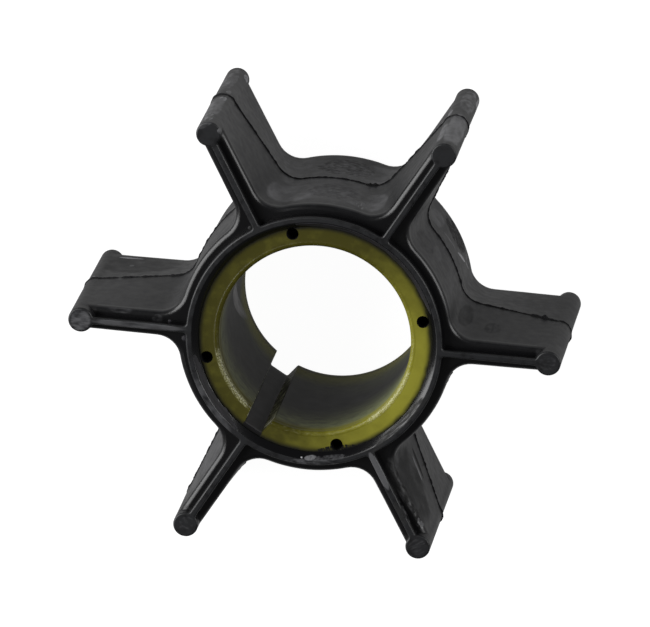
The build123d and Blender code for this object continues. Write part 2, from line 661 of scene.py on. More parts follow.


# Whitish scuffs and scratches of handling, with painted highlights, sheens and lightening, as they lie on the
# photographed impeller
SCUFFS_AND_PAINTED_LIGHT = (
    # Bead at 150 degrees: clouds on its near half, blobs at the parting line, strokes on its far half,
    # broad lightening that is partly bloom and partly painted light, and painted highlights on its disc's edge
    WearAndPaintedLightMark(149.6, 32.9, 26.5, (0.9, 1.5, 3.6), (0.6, 0.5, 1.2), bare=0.38, strength=0.4, softness=0.3),
    # Broad lightening of the near half, partly bloom and partly painted light on the bead's lit side
    WearAndPaintedLightMark(149.4, 32.8, 21.0, (1.0, 2.2, 8.0), (0.8, 0.8, 1.6), bare=0.15, strength=0.28, softness=0.6),
    WearAndPaintedLightMark(148.4, 32.7, 16.9, (0.8, 0.9, 1.7), (0.5, 0.4, 0.8), bare=0.36, strength=0.5, softness=0.2),
    WearAndPaintedLightMark(147.9, 32.6, 12.9, (0.6, 0.6, 1.2), (1.0, 1.0, 1.0), bare=0.2, strength=0.3, softness=0.4),
    WearAndPaintedLightMark(149.9, 32.9, 7.5, (0.8, 1.3, 5.4), (0.6, 1.2, 0.6), bare=0.36, strength=0.4, softness=0.5),
    # Broad lightening of the far half, partly bloom and partly painted light on the bead's lit side
    WearAndPaintedLightMark(149.0, 32.8, 6.0, (1.0, 2.2, 8.5), (0.8, 0.8, 1.2), bare=0.3, strength=0.24, softness=0.5),
    WearAndPaintedLightMark(147.2, 31.4, 2.2, (0.8, 0.6, 1.8), (0.6, 0.5, 0.8), bare=0.3, strength=0.5, softness=0.2),
    # Painted highlights along the end disc's edge
    WearAndPaintedLightMark(147.2, 31.2, 29.1, (0.8, 0.6, 0.8), (0.5, 0.5, 0.5), bare=0.32, strength=0.25, softness=0.4),
    WearAndPaintedLightMark(150.0, 32.7, 29.2, (0.7, 2.0, 0.5), (0.5, 1.0, 0.4), bare=0.3, strength=0.16, softness=0.5),
    # Bead at 90 degrees: broad lightening of both halves that is partly bloom and partly painted light,
    # the far half's edges, and a painted sheen where flank and bead meet
    # Broad lightening, partly bloom and partly painted light on the bead's lit side
    WearAndPaintedLightMark(90.6, 32.9, 21.0, (1.0, 2.4, 12.0), (1.2, 1.2, 2.4), bare=0.08, strength=0.36, softness=0.7),
    WearAndPaintedLightMark(90.0, 32.9, 6.0, (1.0, 2.0, 8.5), (0.8, 0.8, 1.2), bare=0.3, strength=0.34, softness=0.5),
    WearAndPaintedLightMark(87.8, 32.3, 2.8, (0.8, 0.7, 3.0), (0.5, 0.4, 1.5), bare=0.3, strength=0.5, softness=0.2),
    WearAndPaintedLightMark(92.9, 31.7, 11.5, (0.9, 0.6, 3.6), (0.5, 0.4, 2.4), bare=0.35, strength=0.4, softness=0.2),
    # Painted sheen where flank and bead meet
    WearAndPaintedLightMark(92.6, 31.9, 22.5, (1.4, 0.8, 7.0), (1.0, 1.0, 3.0), bare=0.22, strength=0.3, softness=0.4),
    # Hub between the vanes at 150 and 90 degrees: clouds that are partly dust and partly painted light
    # where the hub faces the lights, faint strokes and a spot
    # Broad lightening of this stretch of hub, partly dust and partly painted light
    WearAndPaintedLightMark(120.0, 18.6, 14.7, (2.2, 10.5, 17.0), (2.0, 2.0, 3.0), bare=0.05, strength=0.11, softness=0.6),
    WearAndPaintedLightMark(135.0, 18.8, 21.5, (3.2, 7.5, 6.5), (2.6, 2.6, 3.4), bare=0.26, strength=0.34, softness=0.6),
    WearAndPaintedLightMark(103.0, 18.5, 22.0, (3.0, 6.8, 6.2), (2.2, 2.2, 3.0), bare=0.26, strength=0.42, softness=0.6),
    WearAndPaintedLightMark(135.5, 18.7, 8.5, (3.0, 6.0, 8.5), (2.6, 2.6, 3.4), bare=0.28, strength=0.34, softness=0.6),
    WearAndPaintedLightMark(103.5, 18.5, 9.0, (3.0, 6.0, 8.5), (2.2, 2.2, 3.0), bare=0.26, strength=0.42, softness=0.6),
    WearAndPaintedLightMark(117.0, 18.5, 9.5, (1.2, 7.0, 6.0), (0.5, 0.9, 0.3), bare=0.46, strength=0.3, softness=0.2),
    WearAndPaintedLightMark(119.9, 18.6, 20.6, (0.5, 0.4, 0.8), (1.0, 1.0, 1.0), bare=0.1, strength=0.2, softness=0.3),
    WearAndPaintedLightMark(105.0, 18.5, 24.3, (0.8, 1.4, 2.5), (0.5, 0.35, 0.9), bare=0.45, strength=0.3, softness=0.2),
    # Hub between the vanes at 90 and 30 degrees: one long bent scratch, a blob and dusty areas
    WearAndPaintedLightMark(
        63.3, 18.5, 10.0, (0.8, 2.6, 0.4), (1.0, 2.0, 0.3),
        tilt=20.0, bare=0.3, strength=0.22, softness=0.2,
    ),
    WearAndPaintedLightMark(
        53.5, 18.5, 7.7, (0.8, 2.8, 0.55), (1.0, 2.0, 0.4),
        tilt=50.0, bare=0.25, strength=0.7, softness=0.2,
    ),
    WearAndPaintedLightMark(
        47.3, 18.5, 5.3, (0.8, 1.4, 0.35), (1.0, 2.0, 0.3),
        tilt=45.0, bare=0.2, strength=0.3, softness=0.2,
    ),
    WearAndPaintedLightMark(50.1, 18.5, 4.0, (0.6, 0.6, 1.2), (1.0, 1.0, 1.0), bare=0.1, strength=0.16, softness=0.4),
    WearAndPaintedLightMark(73.0, 18.5, 8.5, (1.2, 2.2, 5.0), (1.5, 1.5, 2.0), bare=0.2, strength=0.12, softness=0.5),
    WearAndPaintedLightMark(66.8, 18.6, 20.3, (1.2, 1.6, 4.0), (1.2, 1.0, 2.0), bare=0.25, strength=0.1, softness=0.5),
    WearAndPaintedLightMark(54.5, 18.6, 20.7, (1.2, 1.8, 4.0), (1.2, 1.0, 2.0), bare=0.25, strength=0.08, softness=0.5),
    # Vane at -30 degrees: scratch beside the parting line, smears on rail and rib, and its root
    WearAndPaintedLightMark(-24.4, 24.0, 18.7, (3.4, 1.0, 0.6), (2.5, 1.0, 0.3), bare=0.34, strength=0.35, softness=0.2),
    WearAndPaintedLightMark(-24.3, 20.2, 26.2, (1.8, 1.2, 2.4), (1.0, 1.0, 1.2), bare=0.25, strength=0.07, softness=0.5),
    WearAndPaintedLightMark(-27.2, 24.5, 27.6, (5.0, 1.0, 1.0), (1.2, 0.6, 0.6), bare=0.4, strength=0.16, softness=0.4),
    WearAndPaintedLightMark(-29.4, 26.0, 28.6, (4.8, 0.7, 1.1), (0.8, 0.4, 0.5), bare=0.42, strength=0.25, softness=0.3),
    WearAndPaintedLightMark(-27.4, 29.0, 27.8, (1.4, 0.8, 1.5), (0.6, 0.4, 0.6), bare=0.4, strength=0.25, softness=0.2),
    WearAndPaintedLightMark(-30.0, 19.8, 29.4, (4.2, 0.8, 0.5), (3.0, 1.0, 1.0), bare=0.1, strength=0.16, softness=0.3),
    # Vane at -150 degrees: a painted highlight on its far edge, a speck, smudges by the rib, painted glints
    # on the bead's side, rib and bead's end
    # Painted highlight on the far edge's round
    WearAndPaintedLightMark(-153.25, 28.4, 3.5, (2.8, 0.7, 0.5), (2.0, 1.0, 0.4), bare=0.12, strength=0.9, softness=0.4),
    WearAndPaintedLightMark(-153.6, 27.8, 7.6, (0.5, 0.5, 0.7), (1.0, 1.0, 1.0), bare=0.1, strength=0.22, softness=0.4),
    WearAndPaintedLightMark(-151.8, 21.3, 27.9, (1.2, 1.2, 0.6), (0.9, 0.9, 0.9), bare=0.3, strength=0.06, softness=0.5),
    WearAndPaintedLightMark(-152.9, 26.3, 27.6, (2.8, 0.8, 0.5), (1.5, 0.5, 0.5), bare=0.3, strength=0.08, softness=0.4),
    # Painted glints on the bead's side at the parting line
    WearAndPaintedLightMark(-152.6, 32.4, 14.0, (0.9, 0.6, 1.7), (0.5, 0.4, 0.6), bare=0.4, strength=0.4, softness=0.2),
    WearAndPaintedLightMark(-150.0, 24.0, 29.4, (10.0, 0.7, 0.4), (3.0, 1.0, 1.0), bare=0.2, strength=0.12, softness=0.4),
    WearAndPaintedLightMark(-150.0, 31.4, 29.4, (2.2, 2.2, 0.5), (1.3, 0.5, 0.6), bare=0.24, strength=0.2, softness=0.5),
    # Lightening on the flank of the keyed vane, partly bloom and partly a painted reflection of the floor,
    # and the other beads' ends
    # Partly bloom and partly a painted reflection of the bright floor
    WearAndPaintedLightMark(-95.0, 25.0, 21.0, (9.0, 2.2, 11.0), (1.2, 1.2, 2.5), bare=0.1, strength=0.09, softness=0.5),
    WearAndPaintedLightMark(30.0, 31.4, 29.4, (2.0, 2.0, 0.5), (0.8, 0.3, 0.6), bare=0.4, strength=0.06, softness=0.4),
    WearAndPaintedLightMark(-30.0, 31.4, 29.4, (2.0, 2.0, 0.5), (0.3, 1.4, 0.6), bare=0.4, strength=0.08, softness=0.4),
    WearAndPaintedLightMark(-90.0, 31.2, 29.4, (1.8, 1.6, 0.5), (0.4, 1.0, 0.6), bare=0.44, strength=0.08, softness=0.4),
    # Recess floor beside the rib at -30 degrees
    WearAndPaintedLightMark(-25.0, 20.4, 27.9, (3.0, 1.1, 0.6), (0.8, 0.5, 0.5), bare=0.36, strength=0.1, softness=0.4),
    # Rim by the pin hole at -45 degrees: a wiped smudge, haze on the mouth, a white dot and a dusty top
    WearAndPaintedLightMark(
        -57.8, 16.25, 29.1, (0.6, 1.6, 0.7), (0.8, 0.7, 0.8),
        tilt=-25.0, bare=0.2, strength=0.32, softness=0.4,
    ),
    WearAndPaintedLightMark(-48.5, 16.3, 29.15, (0.7, 4.2, 0.9), (0.5, 0.7, 0.5), bare=0.3, strength=0.17, softness=0.5),
    WearAndPaintedLightMark(-62.3, 16.3, 29.2, (0.2, 0.2, 0.25), (1.0, 1.0, 1.0), bare=0.1, strength=0.8, softness=0.2),
    WearAndPaintedLightMark(-58.0, 16.75, 29.4, (0.6, 6.0, 0.5), (0.5, 1.2, 0.5), bare=0.36, strength=0.14, softness=0.3),
    # Lilac dust on the rim where the bonding rubber was wiped, at -113 degrees
    WearAndPaintedLightMark(-113.0, 16.5, 29.2, (1.2, 7.5, 1.0), (0.8, 1.6, 0.6), bare=0.26, strength=0.1, softness=0.4),
)

# Skin that stayed black and grainy where the mould was rough, and torn spots
ROUGH_PATCHES = (
    WearAndPaintedLightMark(118.5, 18.6, 20.8, (1.5, 5.8, 5.6), (0.5, 0.8, 0.5), bare=0.28, strength=0.42, softness=0.4),
    WearAndPaintedLightMark(118.0, 18.5, 8.3, (1.5, 7.2, 6.6), (0.4, 0.8, 0.35), bare=0.42, strength=0.7, softness=0.2),
    WearAndPaintedLightMark(61.0, 18.5, 4.6, (1.3, 4.6, 5.0), (0.5, 0.8, 0.5), bare=0.32, strength=0.8, softness=0.25),
    WearAndPaintedLightMark(75.0, 18.6, 22.0, (1.2, 3.2, 4.8), (1.2, 1.2, 2.4), bare=0.35, strength=0.35, softness=0.4),
    WearAndPaintedLightMark(35.1, 23.2, 22.4, (1.9, 1.0, 3.4), (0.6, 1.0, 1.5), bare=0.3, strength=0.35, softness=0.4),
    WearAndPaintedLightMark(38.9, 19.5, 20.7, (2.0, 1.6, 6.5), (1.5, 1.5, 3.0), bare=0.2, strength=0.5, softness=0.5),
    WearAndPaintedLightMark(-25.6, 24.0, 24.4, (9.5, 2.6, 9.0), (2.0, 2.0, 2.5), bare=0.08, strength=0.7, softness=0.6),
    WearAndPaintedLightMark(-26.9, 24.5, 27.4, (9.0, 1.2, 1.4), (0.9, 0.5, 0.6), bare=0.38, strength=0.9, softness=0.15),
    WearAndPaintedLightMark(-24.2, 23.6, 17.6, (3.8, 1.2, 0.7), (3.0, 1.0, 0.4), bare=0.2, strength=1.0, softness=0.2),
    WearAndPaintedLightMark(-9.0, 16.1, 29.0, (1.0, 13.0, 1.0), (0.2, 2.0, 0.2), bare=0.2, strength=0.8, softness=0.4),
    WearAndPaintedLightMark(-30.0, 26.3, 29.2, (4.0, 0.8, 0.6), (1.2, 0.5, 0.5), bare=0.32, strength=0.8, softness=0.3),
    WearAndPaintedLightMark(-153.6, 26.5, 7.0, (9.0, 2.4, 7.5), (2.0, 2.0, 3.0), bare=0.1, strength=0.35, softness=0.6),
)

# Pale resin crushed along the lead-in's edge; its strongest patches lie where the lights catch the edge
# and are also painted highlights
CRUMBS_AND_PAINTED_HIGHLIGHTS = (
    WearAndPaintedLightMark(-119.0, 13.15, 28.2, (2.6, 8.2, 1.2), (0.14, 0.2, 0.14), bare=0.3, strength=0.6, softness=0.5),
    WearAndPaintedLightMark(-4.0, 13.15, 28.2, (2.6, 8.6, 1.2), (0.14, 0.16, 0.14), bare=0.36, strength=0.6, softness=0.35),
    WearAndPaintedLightMark(-60.0, 13.3, 28.3, (3.0, 9.0, 1.2), (0.2, 0.6, 0.2), bare=0.46, strength=0.12, softness=0.4),
    WearAndPaintedLightMark(-96.0, 14.0, 28.3, (1.8, 0.6, 0.8), (0.14, 0.2, 0.14), bare=0.42, strength=0.4, softness=0.2),
)

# Painted highlight along the bore
PAINTED_BORE_HIGHLIGHT = (
    WearAndPaintedLightMark(
        -146.5, 12.6, 11.0, (2.6, 1.7, 10.0), (2.0, 0.8, 5.0),
        tilt=34.0, bare=-0.3, strength=1.5, softness=1.5,
    ),
)

# Black crumbs of rubber that stuck to the resin's face beside the pin hole at -45 degrees
RUBBER_CRUMBS = (
    WearAndPaintedLightMark(-46.0, 15.6, 28.3, (1.2, 5.2, 1.2), (0.9, 0.14, 0.9), bare=0.36, strength=1.0, softness=0.1),
)


@dataclass(frozen=True)
class MouldedNeoprene:
    """Neoprene, compression moulded: near black and satin, so its walls are grey from the floor they mirror.

    The recessed ends keep the mould's polish and, with painted shade, look blackest, as does the
    rim's mouth. The raised rim, ribs and beads are rubbed greyer.
    """

    length: float
    mouth_radius: float
    colour: str = "#0c0c0e"
    bloom_colour: str = "#1a1a1c"
    # Painted shade of the recesses and the rim's mouth
    painted_shade_colour: str = "#060608"
    rubbed_colour: str = "#121316"
    scuff_and_painted_light_colour: str = "#b4b4b8"
    rough_colour: str = "#040404"
    ior: float = 1.5
    smooth_roughness: float = 0.36
    dull_roughness: float = 0.5
    sheltered_roughness: float = 0.3
    mouth_roughness: float = 0.2
    worn_roughness: float = 0.48
    rough_roughness: float = 0.85
    bloom_patch: float = 7.0
    mottle: float = 1.1
    mottle_share: float = 0.6
    bloom_levels: tuple[float, float] = (0.36, 0.66)
    dull_levels: tuple[float, float] = (0.3, 0.7)
    grain: tuple[float, float, float] = (0.3, 0.3, 0.6)
    grain_height: float = 0.003
    rough_grain: float = 0.35
    rough_height: float = 0.05
    recess_depths: tuple[float, float, float, float] = (0.25, 0.6, 1.58, 1.7)
    polish_depths: tuple[float, float] = (2.2, 2.9)
    rubbed_depth: float = 0.3
    rubbed_levels: tuple[float, float] = (0.3, 0.6)
    bead_start: float = 29.4
    bead_fringe: float = 0.4
    mouth_fringe: float = 0.1

    def make(self) -> Material:
        """Builds the material and returns it."""
        material, tree = new_material("moulded_neoprene")
        place = add_node(tree, "ShaderNodeTexCoord").outputs["Object"]
        patches = speckle(tree, place, self.bloom_patch, detail=5.0)
        mottle = speckle(tree, place, self.mottle, detail=4.0)
        rest = add_node(tree, MATH, patches, 1 - self.mottle_share, operation="MULTIPLY")
        uneven = add_node(tree, MATH, mottle, self.mottle_share, rest, operation="MULTIPLY_ADD")
        bloom = add_node(tree, RANGE, uneven, *self.bloom_levels, **SMOOTH)
        painted_recess_shade, polished, rubbed, mouth = self._end_zones(tree, place, mottle)
        scuffs_and_painted_light = strongest(tree, place, SCUFFS_AND_PAINTED_LIGHT)
        rough = strongest(tree, place, ROUGH_PATCHES)

        colour = add_node(tree, MIX, bloom, linear(self.colour), linear(self.bloom_colour), **RGBA)
        # Painted shade: the recess floors and the rim's mouth are darkened as if in shade
        dark = add_node(tree, MATH, painted_recess_shade, mouth, operation="MAXIMUM")
        colour = add_node(tree, MIX, dark, colour, linear(self.painted_shade_colour), **RGBA)
        colour = add_node(tree, MIX, rubbed, colour, linear(self.rubbed_colour), **RGBA)
        colour = add_node(tree, MIX, rough, colour, linear(self.rough_colour), **RGBA)
        # Whitish scuffs, with painted highlights and sheens in the same colour
        colour = add_node(tree, MIX, scuffs_and_painted_light, colour, linear(self.scuff_and_painted_light_colour), **RGBA)
        satin = add_node(
            tree, RANGE, uneven, *self.dull_levels, self.smooth_roughness, self.dull_roughness, **SMOOTH
        )
        smooth = blend_values(tree, polished, satin, self.sheltered_roughness)
        smooth = blend_values(tree, mouth, smooth, self.mouth_roughness)
        handled = add_node(tree, MATH, scuffs_and_painted_light, rubbed, operation="MAXIMUM")
        worn = blend_values(tree, handled, smooth, self.worn_roughness)
        roughness = blend_values(tree, rough, worn, self.rough_roughness)

        grain = speckle(tree, place, self.grain)
        fine = add_node(
            tree, "ShaderNodeBump", {"Height": grain, "Distance": self.grain_height * MM, "Strength": 1.0}
        )
        rough_grain = speckle(tree, place, self.rough_grain)
        bump = add_node(
            tree,
            "ShaderNodeBump",
            {"Height": rough_grain, "Distance": self.rough_height * MM, "Strength": rough, "Normal": fine},
        )
        shader = add_node(
            tree,
            "ShaderNodeBsdfPrincipled",
            {"Base Color": colour, "Roughness": roughness, "IOR": self.ior, "Normal": bump},
        )
        add_node(tree, "ShaderNodeOutputMaterial", {"Surface": shader})
        return material

    def _end_zones(self, tree: Tree, place: Socket, mottle: Node) -> tuple[Node, Node, Node, Node]:
        """Adds the zones that set the two ends off from the walls between them.

        Args:
            tree: Tree of the material.
            place: Place on the object.
            mottle: Noise that breaks up the rubbed faces.

        Returns:
            Shares of the recesses' painted shade, the mould-polished ends, the rubbed faces and the rim's
            mouth, which takes painted shade too.
        """
        depth = end_depth(tree, place, self.length)
        radius = shaft_distance(tree, place)
        below, full, leaving, gone = metres(self.recess_depths)
        bead = metres((self.bead_start, self.bead_start + self.bead_fringe))
        off_bead = add_node(tree, RANGE, radius, *bead, 1.0, 0.0, **SMOOTH)
        under_face = add_node(tree, RANGE, depth, below, full, **SMOOTH)
        band = add_node(tree, MATH, under_face, off_bead, operation="MULTIPLY")
        above_floor = add_node(tree, RANGE, depth, leaving, gone, 1.0, 0.0, **SMOOTH)
        # Share of painted shade in the recesses
        painted_recess_shade = add_node(tree, MATH, band, above_floor, operation="MULTIPLY")
        near_end = add_node(tree, RANGE, depth, *metres(self.polish_depths), 1.0, 0.0, **SMOOTH)
        polished = add_node(tree, MATH, band, near_end, operation="MULTIPLY")
        rim_edge = metres((self.mouth_radius, self.mouth_radius + self.mouth_fringe))
        # The rim's mouth takes painted shade and a smoother finish
        mouth = add_node(tree, RANGE, radius, *rim_edge, 1.0, 0.0, **SMOOTH)
        top = add_node(tree, RANGE, depth, 0.0, self.rubbed_depth * MM, 1.0, 0.0, **SMOOTH)
        patchy = add_node(tree, RANGE, mottle, *self.rubbed_levels, **SMOOTH)
        worn = add_node(tree, MATH, top, patchy, operation="MULTIPLY")
        off_mouth = add_node(tree, MATH, 1.0, mouth, operation="SUBTRACT")
        rubbed = add_node(tree, MATH, worn, off_mouth, operation="MULTIPLY")
        return painted_recess_shade, polished, rubbed, mouth


@dataclass(frozen=True)
class MouldedResin:
    """Amber resin, olive at its ends, with a painted glow that is brightest on one side, where the key
    light would leave it.

    It is dark down the bore, where the painted glow fades out. The edge of the lead-in is crushed to pale
    crumbs that also paint its highlights, and the border of the face is painted black as the rubber lip's
    shadow, with black rubber crumbs by one pin hole.
    """

    low: float
    high: float
    radius: float
    bore_radius: float
    # Painted glow: lit and shaded tones of the face and the bore
    shaded_face: str = "#3f3c0a"
    lit_face: str = "#8c892c"
    shaded_bore: str = "#100f0d"
    lit_bore: str = "#8a9063"
    # Painted shadow of the rubber lip on the face's border, and black rubber crumbs
    lip_shadow_and_crumb_colour: str = "#080806"
    keyway_colour: str = "#121013"
    # Painted glow of the keyway's walls, with paler flecks
    keyway_wall_painted_glow: str = "#6a6a58"
    keyway_fleck_painted_glow: str = "#d8d8c0"
    fleck_levels: tuple[float, float] = (0.42, 0.66)
    # Pale crumbs that are also painted highlights
    crumb_and_highlight_colour: str = "#cfcea6"
    # Painted highlight along the bore
    bore_highlight_colour: str = "#a9a7ac"
    ior: float = 1.42
    face_roughness: float = 0.4
    bore_roughness: float = 0.52
    roughness_swing: float = 0.1
    lead_in_roughness: float = 0.3
    lead_in_band: tuple[float, float, float, float] = (0.0, 0.14, 0.58, 0.8)
    lead_in_depths: tuple[float, float] = (0.6, 0.9)
    crumb: float = 0.28
    crumb_height: float = 0.07
    scratch_height: float = 0.0015
    glow_angle: float = 9.0
    glow_sharpness: float = 1.5
    face_depths: tuple[float, float] = (0.3, 0.9)
    face_glow_depths: tuple[float, float] = (0.9, 2.6)
    face_glow_swing: float = 1.2
    # Painted glow near the bore's far end
    far_glow: float = 7.0
    painted_far_glow_colour: str = "#b4b04c"
    bore_glow: float = 10.5
    lit_bore_glow: float = 15.0
    bore_fading: float = 1.6
    shaded_share: float = 0.35
    streak_swing: float = 1.2
    mottle: float = 1.6
    mottle_swing: float = 0.6
    streak: tuple[float, float, float] = (1.4, 1.4, 0.6)
    border: tuple[float, float] = (1.15, 0.3)
    border_swing: float = 0.6
    keyway_floor: float = 14.9
    keyway_half_widths: tuple[float, float] = (1.38, 1.85)
    keyway_start: tuple[float, float] = (0.25, -0.05)
    keyway_fringe: float = 0.1

    def make(self) -> Material:
        """Builds the material and returns it."""
        material, tree = new_material("moulded_resin")
        place = add_node(tree, "ShaderNodeTexCoord").outputs["Object"]
        radius = shaft_distance(tree, place)
        below_seal = end_depth(tree, place, self.low + self.high)
        depth = add_node(tree, MATH, below_seal, self.low * MM, operation="SUBTRACT")
        patches = speckle(tree, place, self.mottle, detail=5.0)
        mottle = add_node(tree, MATH, patches, MID_NOISE, operation="SUBTRACT")
        streaks = speckle(tree, place, self.streak, detail=5.0)
        lead_in = self._lead_in(tree, radius, depth)
        on_face = add_node(tree, RANGE, depth, *metres(self.face_depths), 1.0, 0.0, **SMOOTH)

        colour = self._tone(tree, place, depth, mottle, streaks)
        # Pale crumbs along the lead-in's edge, which are also painted highlights
        crumb_and_highlight_marks = strongest(tree, place, CRUMBS_AND_PAINTED_HIGHLIGHTS)
        crushed = add_node(tree, MATH, crumb_and_highlight_marks, lead_in, operation="MULTIPLY")
        colour = add_node(tree, MIX, crushed, colour, linear(self.crumb_and_highlight_colour), **RGBA)
        # Painted highlight streaked along the bore
        painted_bore_highlight = strongest(tree, place, PAINTED_BORE_HIGHLIGHT)
        colour = add_node(tree, MIX, painted_bore_highlight, colour, linear(self.bore_highlight_colour), **RGBA)
        # Painted shadow of the rubber lip along the face's border, with black rubber crumbs by one pin hole
        edge = add_node(tree, MATH, mottle, self.border_swing * MM, radius, operation="MULTIPLY_ADD")
        border = metres(tuple(self.radius - inset for inset in self.border))
        painted_lip_shadow = add_node(tree, RANGE, edge, *border, **SMOOTH)
        crumbs = strongest(tree, place, RUBBER_CRUMBS)
        black = add_node(tree, MATH, painted_lip_shadow, crumbs, operation="MAXIMUM")
        colour = add_node(tree, MIX, black, colour, linear(self.lip_shadow_and_crumb_colour), **RGBA)

        flat = blend_values(tree, on_face, self.bore_roughness, self.face_roughness)
        satin = add_node(tree, MATH, mottle, self.roughness_swing, flat, operation="MULTIPLY_ADD")
        roughness = blend_values(tree, lead_in, satin, self.lead_in_roughness)
        broken = add_node(tree, MATH, speckle(tree, place, self.crumb), lead_in, operation="MULTIPLY")
        scratches = add_node(tree, MATH, streaks, self.scratch_height * MM, operation="MULTIPLY")
        height = add_node(tree, MATH, broken, self.crumb_height * MM, scratches, operation="MULTIPLY_ADD")
        bump = add_node(tree, "ShaderNodeBump", {"Height": height, "Distance": 1.0, "Strength": 1.0})
        shader = add_node(
            tree,
            "ShaderNodeBsdfPrincipled",
            {"Base Color": colour, "Roughness": roughness, "IOR": self.ior, "Normal": bump},
        )
        add_node(tree, "ShaderNodeOutputMaterial", {"Surface": shader})
        return material

    def _tone(self, tree: Tree, place: Socket, depth: Node, mottle: Node, streaks: Node) -> Node:
        """Adds the colour of face, bore and keyway, before anything lies on them.

        Args:
            tree: Tree of the material.
            place: Place on the object.
            depth: Depth below the nearer end face.
            mottle: Patchy noise about zero.
            streaks: Noise drawn out round the shaft.

        Returns:
            Olive whose painted glow fades to grey-green and then to near black down the bore, with a painted
            glow at the far end and on the keyway's walls, and the keyway's floor.
        """
        # Painted glow: the face is lit on one side and shaded on the other
        lobe = self._lit_side(tree, place)
        floor, walls = self._keyway(tree, place)
        lit = add_node(tree, MATH, mottle, self.mottle_swing, lobe, operation="MULTIPLY_ADD")
        face = add_node(tree, MIX, lit, linear(self.shaded_face), linear(self.lit_face), **RGBA)
        # The painted glow reaches further down the bore on the lit side and fades to the dark bore
        further = (self.lit_bore_glow - self.bore_glow) * MM
        reach = add_node(tree, MATH, lobe, further, self.bore_glow * MM, operation="MULTIPLY_ADD")
        gone = add_node(tree, MATH, depth, reach, operation="DIVIDE")
        remaining = add_node(tree, MATH, 1.0, gone, operation="SUBTRACT")
        left = add_node(tree, MATH, remaining, 0.0, operation="MAXIMUM")
        fading = add_node(tree, MATH, left, self.bore_fading, operation="POWER")
        strength = add_node(
            tree, MATH, lobe, 1 - self.shaded_share, self.shaded_share, operation="MULTIPLY_ADD"
        )
        centred = add_node(tree, MATH, streaks, MID_NOISE, operation="SUBTRACT")
        patchy = add_node(tree, MATH, centred, self.streak_swing, strength, operation="MULTIPLY_ADD")
        shown = add_node(tree, MATH, patchy, 0.0, operation="MAXIMUM")
        share = add_node(tree, MATH, fading, shown, operation="MULTIPLY")
        bore = add_node(tree, MIX, share, linear(self.shaded_bore), linear(self.lit_bore), **RGBA)
        # Painted glow near the far end of the bore
        height = add_node(tree, "ShaderNodeSeparateXYZ", place).outputs["Z"]
        far_end = metres((self.low, self.low + self.far_glow))
        far = add_node(tree, RANGE, height, *far_end, 1.0, 0.0, **SMOOTH)
        bore = add_node(tree, MIX, far, bore, linear(self.painted_far_glow_colour), **RGBA)
        # Painted glow on the keyway's walls, with paler flecks
        flecks = add_node(tree, RANGE, streaks, *self.fleck_levels, **SMOOTH)
        painted_wall_glow = add_node(tree, MIX, flecks, linear(self.keyway_wall_painted_glow), linear(self.keyway_fleck_painted_glow), **RGBA)
        bore = add_node(tree, MIX, walls, bore, painted_wall_glow, **RGBA)
        uneven = add_node(tree, MATH, mottle, self.face_glow_swing * MM, depth, operation="MULTIPLY_ADD")
        near_face = add_node(tree, RANGE, uneven, *metres(self.face_glow_depths), 1.0, 0.0, **SMOOTH)
        tone = add_node(tree, MIX, near_face, bore, face, **RGBA)
        return add_node(tree, MIX, floor, tone, linear(self.keyway_colour), **RGBA)

    def _lead_in(self, tree: Tree, radius: Node, depth: Node) -> Node:
        """Adds a share that is 1 along the rounded edge of the lead-in.

        Args:
            tree: Tree of the material.
            radius: Distance from the shaft axis.
            depth: Depth below the nearer end face.

        Returns:
            The share.
        """
        start, full, leaving, gone = metres(tuple(self.bore_radius + out for out in self.lead_in_band))
        beyond = add_node(tree, RANGE, radius, start, full, **SMOOTH)
        within = add_node(tree, RANGE, radius, leaving, gone, 1.0, 0.0, **SMOOTH)
        across = add_node(tree, MATH, beyond, within, operation="MULTIPLY")
        shallow = add_node(tree, RANGE, depth, *metres(self.lead_in_depths), 1.0, 0.0, **SMOOTH)
        return add_node(tree, MATH, across, shallow, operation="MULTIPLY")

    def _lit_side(self, tree: Tree, place: Socket) -> Node:
        """Adds the share of the painted glow, by direction from the shaft axis.

        Args:
            tree: Tree of the material.
            place: Place on the object.

        Returns:
            The share.
        """
        flat = add_node(tree, VECTOR_MATH, place, (1.0, 1.0, 0.0), operation="MULTIPLY")
        outwards = add_node(tree, VECTOR_MATH, flat, operation="NORMALIZE")
        angle = math.radians(self.glow_angle)
        brightest = (math.cos(angle), math.sin(angle), 0.0)
        facing = add_node(tree, VECTOR_MATH, outwards, brightest, operation="DOT_PRODUCT")
        lit = add_node(tree, MATH, facing, 0.0, operation="MAXIMUM")
        return add_node(tree, MATH, lit, self.glow_sharpness, operation="POWER")

    def _keyway(self, tree: Tree, place: Socket) -> tuple[Node, Node]:
        """Adds where the keyway is, which lies along -Y.

        Args:
            tree: Tree of the material.
            place: Place on the object.

        Returns:
            Shares of the keyway's floor and of its walls.
        """
        axes = add_node(tree, "ShaderNodeSeparateXYZ", place).outputs
        off_middle = add_node(tree, MATH, axes["X"], operation="ABSOLUTE")
        inner, outer = metres(self.keyway_half_widths)
        fringe = self.keyway_fringe * MM
        within = add_node(tree, RANGE, off_middle, outer, outer + fringe, 1.0, 0.0, **SMOOTH)
        start = metres(tuple(-(self.bore_radius + out) for out in self.keyway_start))
        beyond = add_node(tree, RANGE, axes["Y"], *start, 1.0, 0.0, **SMOOTH)
        bottom = metres((-(self.keyway_floor + self.keyway_fringe), -self.keyway_floor))
        deep = add_node(tree, RANGE, axes["Y"], *bottom, 1.0, 0.0, **SMOOTH)
        between_walls = add_node(tree, RANGE, off_middle, inner, inner + fringe, 1.0, 0.0, **SMOOTH)
        floor = add_node(tree, MATH, deep, between_walls, operation="MULTIPLY")
        walls = add_node(tree, MATH, within, beyond, operation="MULTIPLY")
        return floor, walls


